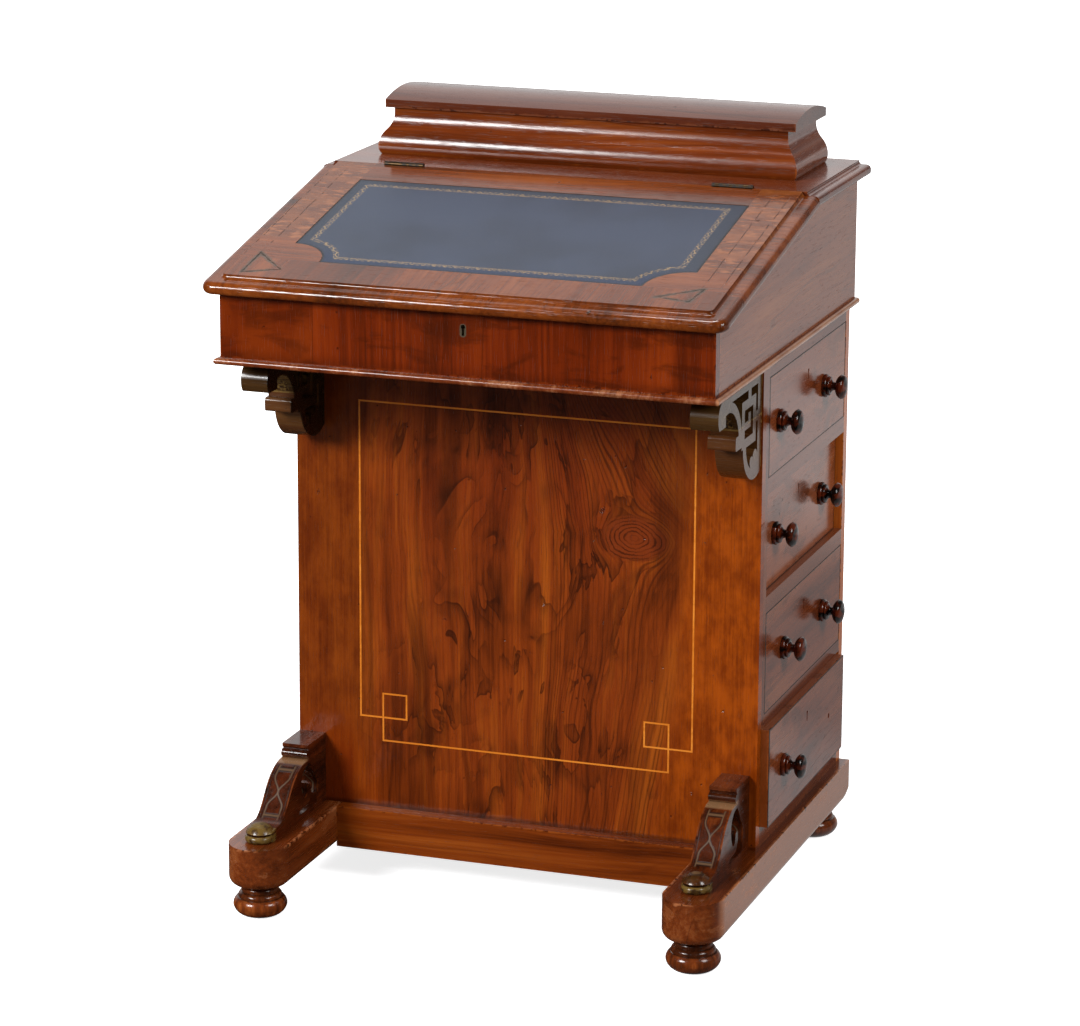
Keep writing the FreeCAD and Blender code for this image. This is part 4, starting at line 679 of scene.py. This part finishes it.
def fret_finish(node, inner_shadow):
    """Browner below the leaf than on the roll. The bracket away from the drawers has painted
    shadow on its inner side."""
    low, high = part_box(node)
    material, shader, place = new_finish(node + "_finish")
    x, _, z = place.parts()
    colour, rough, height = walnut(laid(place, "x", own_place(node)), FRET_TONES, 30.0, 0.6)
    drop = high[2] - z
    below = drop.between(LEAF_DEPTH[1], LEAF_DEPTH[1] + 0.001)
    colour = (below * 0.55).mix(colour, FRET_BROWN)
    leaf = drop.between(LEAF_DEPTH[0] - 0.001, LEAF_DEPTH[0]) * (1 - below)
    leaf = leaf * (x - low[0]).least(high[0] - x).between(0.005, 0.006)
    veins = place.noise((330, 330, 330), 3.0, 0.6)
    # Painted highlights and painted shade in the carved leaf.
    colour = (leaf * veins.between(0.5, 0.62) * 0.5).mix(colour, FRET_TONES[2])
    colour = (leaf * (1 - veins.between(0.4, 0.5)) * 0.7).mix(colour, FRET_TONES[0])
    # Painted highlight: a broken pale line along the edge of the step below the leaf.
    nose = 1 - abs(drop - LEAF_DEPTH[1] - 0.0012).between(0.0004, 0.0016)
    nose = nose * place.noise((70, 70, 70), 3.0, 0.6).between(0.42, 0.56)
    colour = (nose * 0.6).mix(colour, FRET_TONES[2])
    colour = worn(place, colour, low, high, FRET_TONES[2], FRET_TONES[0])
    # Painted shadow: the inner side of the bracket away from the drawers is darkened for the shade
    # under the case.
    painted_shadow = (x - high[0]).between(-0.0014, -0.0004) * inner_shadow
    colour = painted_shadow.mix(colour, FRET_TONES[0])
    colour, spot = specks(place, colour, 120.0, 0.25)
    settle(shader, colour, rough + 0.06, height * 0.3 + leaf * veins * 5 - spot, 0.0005, 0.35)
    dress(material, node)


fret_finish("fret_bracket_left", 0.8)
fret_finish("fret_bracket_right", 0.0)

# ------------------------------------------------------------------ writing case
# A shallow case of walnut boards, dovetailed at its corners, with a small mitred bead nailed round
# its foot and a fixed board on top of it behind the lid.

CASE_TONES = (shade(56, 16, 1), shade(100, 31, 2), shade(126, 46, 5))
HONEY_TONES = (shade(84, 24, 1), shade(114, 41, 3))
CASE_SEAM_X = -0.163
LINER_METAL = shade(132, 122, 100)
KEY_DROP, KEY_SLOT, KEY_LINER = 0.0195, 0.0068, (0.0031, 0.0037)
TOP_TONES = (shade(48, 16, 6), shade(92, 40, 18), shade(118, 62, 34))
BEAD_TONES = (shade(60, 20, 6), shade(110, 48, 18), shade(172, 118, 82))


def case_front_finish():
    """Two upright sheets of veneer meet at a seam left of the lock, whose keyhole has a thread
    of metal round it."""
    material, shader, place = new_finish("case_front_finish")
    low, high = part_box("case_front")
    x, _, z = place.parts()
    colour, rough, height = walnut(laid(place, "z", (2.3, 0.4, 5.1)), CASE_TONES, 18.0, 1.5)
    left = 1 - x.between(CASE_SEAM_X - 0.0003, CASE_SEAM_X + 0.0003)
    honey = place.noise((30, 1, 12), 3.0).between(0.35, 0.65).mix(*HONEY_TONES)
    colour = (left * 0.75).mix(colour, honey)
    seam = 1 - abs(x - CASE_SEAM_X).between(0.0002, 0.0006)
    colour = (seam * 0.6).mix(colour, CASE_TONES[0])
    streak = place.noise((28, 1, 2.0), 3.0, 0.5).between(0.54, 0.66) * (1 - left)
    colour = (streak * 0.55).mix(colour, CASE_TONES[0])
    smoke = place.noise((12, 1, 40), 4.0, 0.6, 0.5).between(0.5, 0.64)
    colour = (smoke * 0.55).mix(colour, CASE_TONES[0])
    ridge = abs(z - 0.5 * (low[2] + high[2])).between(0.020, 0.036)
    colour = (ridge * 0.4).mix(colour, CASE_TONES[0])
    colour, spot = specks(place, colour, 60.0, 0.3)
    colour = worn(place, colour, low, high, HONEY_TONES[1], CASE_TONES[0], 0.003)
    down = z - (high[2] - KEY_DROP)
    away = down - down.most(-KEY_SLOT).least(0.0)
    ring = x * x + away * away
    ring = 1 - ring.worked("SQRT", ring).between(*KEY_LINER)
    colour = (ring * 0.8).mix(colour, LINER_METAL)
    settle(shader, colour, rough + ring * 0.1, height - spot * 2 + ring, 0.0004, 0.2)
    shader.id_data.links.new((ring * 0.8).socket, shader.inputs["Metallic"])
    dress(material, "case_front")


def bead_finish():
    """The bead on the drawers' side is painted pale along its whole length, for the reflection it
    shows.
    """
    material, shader, place = new_finish("base_moulding_finish")
    grain = laid(place, "y", own_place("base_moulding"))
    colour, rough, height = walnut(grain, BEAD_TONES, 30.0, 1.2)
    # Painted reflection: the bead's outer face is made paler, in patches, for the bright floor it
    # mirrors.
    outer = (place.parts()[0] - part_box("base_moulding")[1][0]).between(-0.005, -0.002)
    rubbed = place.noise((50, 30, 50), 3.0, 0.6).between(0.35, 0.6)
    colour = (outer * (0.5 + rubbed * 0.4)).mix(colour, BEAD_TONES[2])
    settle(shader, colour, rough, height, 0.0004, 0.12)
    dress(material, "base_moulding")


case_front_finish()
for side in ("left", "right"):
    board("case_side_" + side, "y", SIDE_TONES, 24.0, relief=SIDE_RELIEF)
board("case_back", "x", SIDE_TONES, relief=SIDE_RELIEF)
board("case_bottom", "y", SIDE_TONES)
bead_finish()
board("top_board", "x", TOP_TONES, 24.0)

# ------------------------------------------------------------------ writing lid
# A sloping flap of walnut with a moulded edge, crossbanded in veneer round the writing surface. It
# is hinged at its upper edge to the fixed board.

LID_TONES = (shade(50, 19, 4), shade(100, 45, 12), shade(130, 66, 22))
BAND_TONES = (shade(84, 38, 14), shade(116, 62, 26), shade(144, 84, 44))
LID_SLOPE = math.radians(11.45)
LID_HINGE = (0.0, 0.0628, 0.766)
LEATHER_HALF, LEATHER_BACK, LEATHER_FRONT = 0.2173, -0.0484, -0.2774
BAND_JOINTS, BAND_EDGE = (-0.221, -0.230), (0.262, 0.264)
CRACKS = (-0.2595, -0.2430, 0.2345, 0.2530)
PATCHES = (((-0.2437, -0.2639), (-0.2431, -0.3172), (-0.2054, -0.3040)),
           ((0.1953, -0.3020), (0.2376, -0.2740), (0.2313, -0.3069)))
CRACK_DIRT, PATCH_STAIN, PATCH_GLUE = shade(30, 12, 6), shade(46, 50, 40), shade(30, 30, 22)
JOINT_BLUR = 0.0002


def on_lid(place):
    """The same place measured on the slope: X across, Y up from the nose, Z out of the field."""
    return place.node("Mapping", {"vector_type": "TEXTURE"}, {
        "Vector": place, "Location": LID_HINGE, "Rotation": (LID_SLOPE, 0, 0)})


def stroke(x, y, start, end):
    """How far a place on the lid is from a straight line let into it."""
    run = Vector(end) - Vector(start)
    along = ((x - start[0]) * (run[0] / run.length_squared)
             + (y - start[1]) * (run[1] / run.length_squared)).most(0.0).least(1.0)
    across, up = x - start[0] - along * run[0], y - start[1] - along * run[1]
    reach = across * across + up * up
    return reach.worked("SQRT", reach)


def beyond(value, joint):
    """Nought on the near side of a joint in the veneer and one on the far side."""
    return value.between(joint - JOINT_BLUR, joint + JOINT_BLUR)


def lid_board_finish():
    """Crossbanding at both ends and along the nose, cracks that follow the ends, and two
    three-cornered patches by the nose. Of these the underside has only the band on the nose."""
    material, shader, place = new_finish("lid_board_finish")
    flat = on_lid(place)
    x, y, z = flat.parts()
    upper = z.between(-0.008, -0.006)
    body, rough, height = walnut(laid(flat, "x", (1.3, 0.2, 4.4)), LID_TONES, 30.0, 1.3)
    cross, _, _ = walnut(laid(flat, "y", (5.3, 2.2, 0.4)), LID_TONES, 16.0, 1.3)
    blotch = flat.noise((14, 48, 1), 4.0, 0.6)
    band = blotch.between(0.36, 0.64).mix(BAND_TONES[0], BAND_TONES[1])
    band = flat.noise((60, 160, 1), 3.0).between(0.5, 0.7).mix(band, BAND_TONES[2])
    colour = beyond(y, LEATHER_FRONT).mix(cross, body)
    left = (1 - beyond(x, -LEATHER_HALF)) * beyond(y, BAND_JOINTS[0])
    right = beyond(x, LEATHER_HALF) * beyond(y, BAND_JOINTS[1])
    field_edge = upper * (1 - abs(x).between(*BAND_EDGE))
    colour = ((left + right) * field_edge * 0.8).mix(colour, band)
    colour, spot = specks(place, colour, 50.0, 0.2)
    wobble = (flat.noise((20, 26, 1), 3.0, 0.6) - 0.5) * 0.004
    gaps = flat.noise((6, 70, 1), 2.0).between(0.4, 0.5)
    crack = None
    for line in CRACKS:
        near = 1 - abs(x - line + wobble).between(0.0002, 0.0007)
        crack = near if crack is None else crack.most(near)
    crack = crack * gaps * y.between(-0.29, -0.25) * (1 - y.between(-0.04, -0.01)) * upper
    colour = (crack * 0.85).mix(colour, CRACK_DIRT)
    ragged = (flat.noise((110, 110, 1), 4.0, 0.65) - 0.42) * 0.007
    inked = halo = None
    for corners in PATCHES:
        for start, end in zip(corners, corners[1:] + corners[:1]):
            off = stroke(x, y, start, end) + ragged
            near, wide = 1 - off.between(0.0008, 0.0022), 1 - off.between(0.0022, 0.0052)
            inked = near if inked is None else inked.most(near)
            halo = wide if halo is None else halo.most(wide)
    halo = halo * flat.noise((60, 60, 1), 3.0, 0.6).between(0.34, 0.5) * upper
    colour = (halo * 0.6).mix(colour, PATCH_STAIN)
    inked = inked * upper
    colour = (inked * 0.75).mix(colour, PATCH_GLUE)
    settle(shader, colour, rough * 0.7 + (inked + crack) * 0.5,
           height - (spot + crack) * 2 - inked, 0.0004, 0.3)
    dress(material, "lid_board")


lid_board_finish()

# ------------------------------------------------------------------ writing surface
# One skin of blue-grey hide glued into the lid, tooled in gold round its edge with a floral roll
# between two lines of dots, and blind tooled where it meets the wood.

GOLD_LEFT, GOLD_RIGHT, GOLD_BACK, GOLD_FRONT = -0.2030, 0.1985, -0.0625, -0.2640
GOLD_NOTCH, HIDE_NOTCH = 0.0582, 0.044
GOLD = shade(176, 146, 100)
HIDE = (shade(34, 43, 60), shade(48, 57, 76))
HIDE_BORDER = (shade(34, 42, 56), shade(14, 34, 64))
BLIND_TONE, EDGE_SHADE_TONE = shade(10, 12, 16), shade(7, 6, 6)
BEAD_WAVE, TEETH_WAVE, HIDE_GRAIN = 1050, 1900, 900.0


def leather_finish():
    """The tooling runs round a shape with hollowed front corners, as the hide itself does."""
    material, shader, place = new_finish("lid_leather_finish")
    flat = on_lid(place)
    x, y, _ = flat.parts()
    middle_x, middle_y = (GOLD_LEFT + GOLD_RIGHT) / 2, (GOLD_BACK + GOLD_FRONT) / 2
    across = abs(x - middle_x) - (GOLD_RIGHT - GOLD_LEFT) / 2
    up = abs(y - middle_y) - (GOLD_BACK - GOLD_FRONT) / 2
    side, fore = abs(x) - LEATHER_HALF, y - LEATHER_FRONT
    corner = side * side + fore * fore
    corner = corner.worked("SQRT", corner)
    off = across.most(up).most(GOLD_NOTCH - corner)
    crosswise = up.between(-0.002, 0.0)
    run = crosswise.node("Mix", (), {0: crosswise, 2: y, 3: x})
    beads = run.worked("SINE", run * BEAD_WAVE)
    curls = run.worked("SINE", run * (BEAD_WAVE / 2) + 0.7)
    wear = place.noise((500, 500, 500), 2.0).between(0.36, 0.52)
    roll = (1 - abs(off + curls * 0.0011).between(0.0004, 0.0010)) * wear
    dots = (1 - abs(abs(off) - 0.0024).between(0.0003, 0.0008)) * beads.between(-0.5, 0.3)
    gold = roll.most(dots * wear) * 0.8
    cloud = place.noise((8, 8, 8), 4.0, 0.55)
    cells = place.node("TexVoronoi", {"feature": "DISTANCE_TO_EDGE"},
                       {"Vector": place, "Scale": HIDE_GRAIN})
    colour = cloud.between(0.35, 0.65).mix(*HIDE)
    border = (1 - y.between(GOLD_FRONT - 0.004, GOLD_FRONT + 0.05)).mix(*HIDE_BORDER)
    colour = (off.between(0.0028, 0.0036) * 0.8).mix(colour, border)
    rim = side.most(0 - fore).most(y - LEATHER_BACK).most(HIDE_NOTCH - corner)
    blind = rim.between(-0.0032, -0.0012)
    teeth = x.worked("SINE", (x + y) * TEETH_WAVE).between(-0.6, 0.2)
    colour = (blind * (0.35 + teeth * 0.4)).mix(colour, BLIND_TONE)
    # Painted shade: a dark line just inside the hide's edge, where it meets the wood.
    colour = (rim.between(-0.0018, -0.0009) * 0.85).mix(colour, EDGE_SHADE_TONE)
    colour = gold.mix(colour, GOLD)
    settle(shader, colour, 0.34 + cloud * 0.14 - gold * 0.1,
           cells.between(0.0, 0.12) - gold * 1.5 - blind, 0.0002, 0.35)
    shader.id_data.links.new((gold * 0.6).socket, shader.inputs["Metallic"])
    dress(material, "lid_leather")


leather_finish()

# ------------------------------------------------------------------ stationery box
# A long box on the fixed board, its walnut walls of ogee section mitred and glued. The rounded lid
# is one walnut board, hollowed beneath.

BOX_TONES = (shade(40, 12, 2), shade(98, 40, 9), shade(136, 68, 20))
BOX_LID_TONES = (shade(40, 16, 8), shade(78, 34, 18), shade(104, 56, 34))

for part in ("box_front", "box_back"):
    board(part, "x", BOX_TONES, 26.0, 1.2)
board("box_lid", "x", BOX_LID_TONES, 26.0, wear=0.003)
for side in ("left", "right"):
    board("box_end_" + side, "y", BOX_TONES)

# ------------------------------------------------------------------ hinges
# Brass butt hinges, two on each lid, with five knuckles round a pin. They are screwed to the wood
# and have gone almost black.

old_metal("hinge_brass", ["lid_hinge_fixed_leaves", "lid_hinge_moving_leaves",
                          "box_hinge_fixed_leaves", "box_hinge_moving_leaves"],
          shade(56, 42, 26), shade(20, 13, 9))
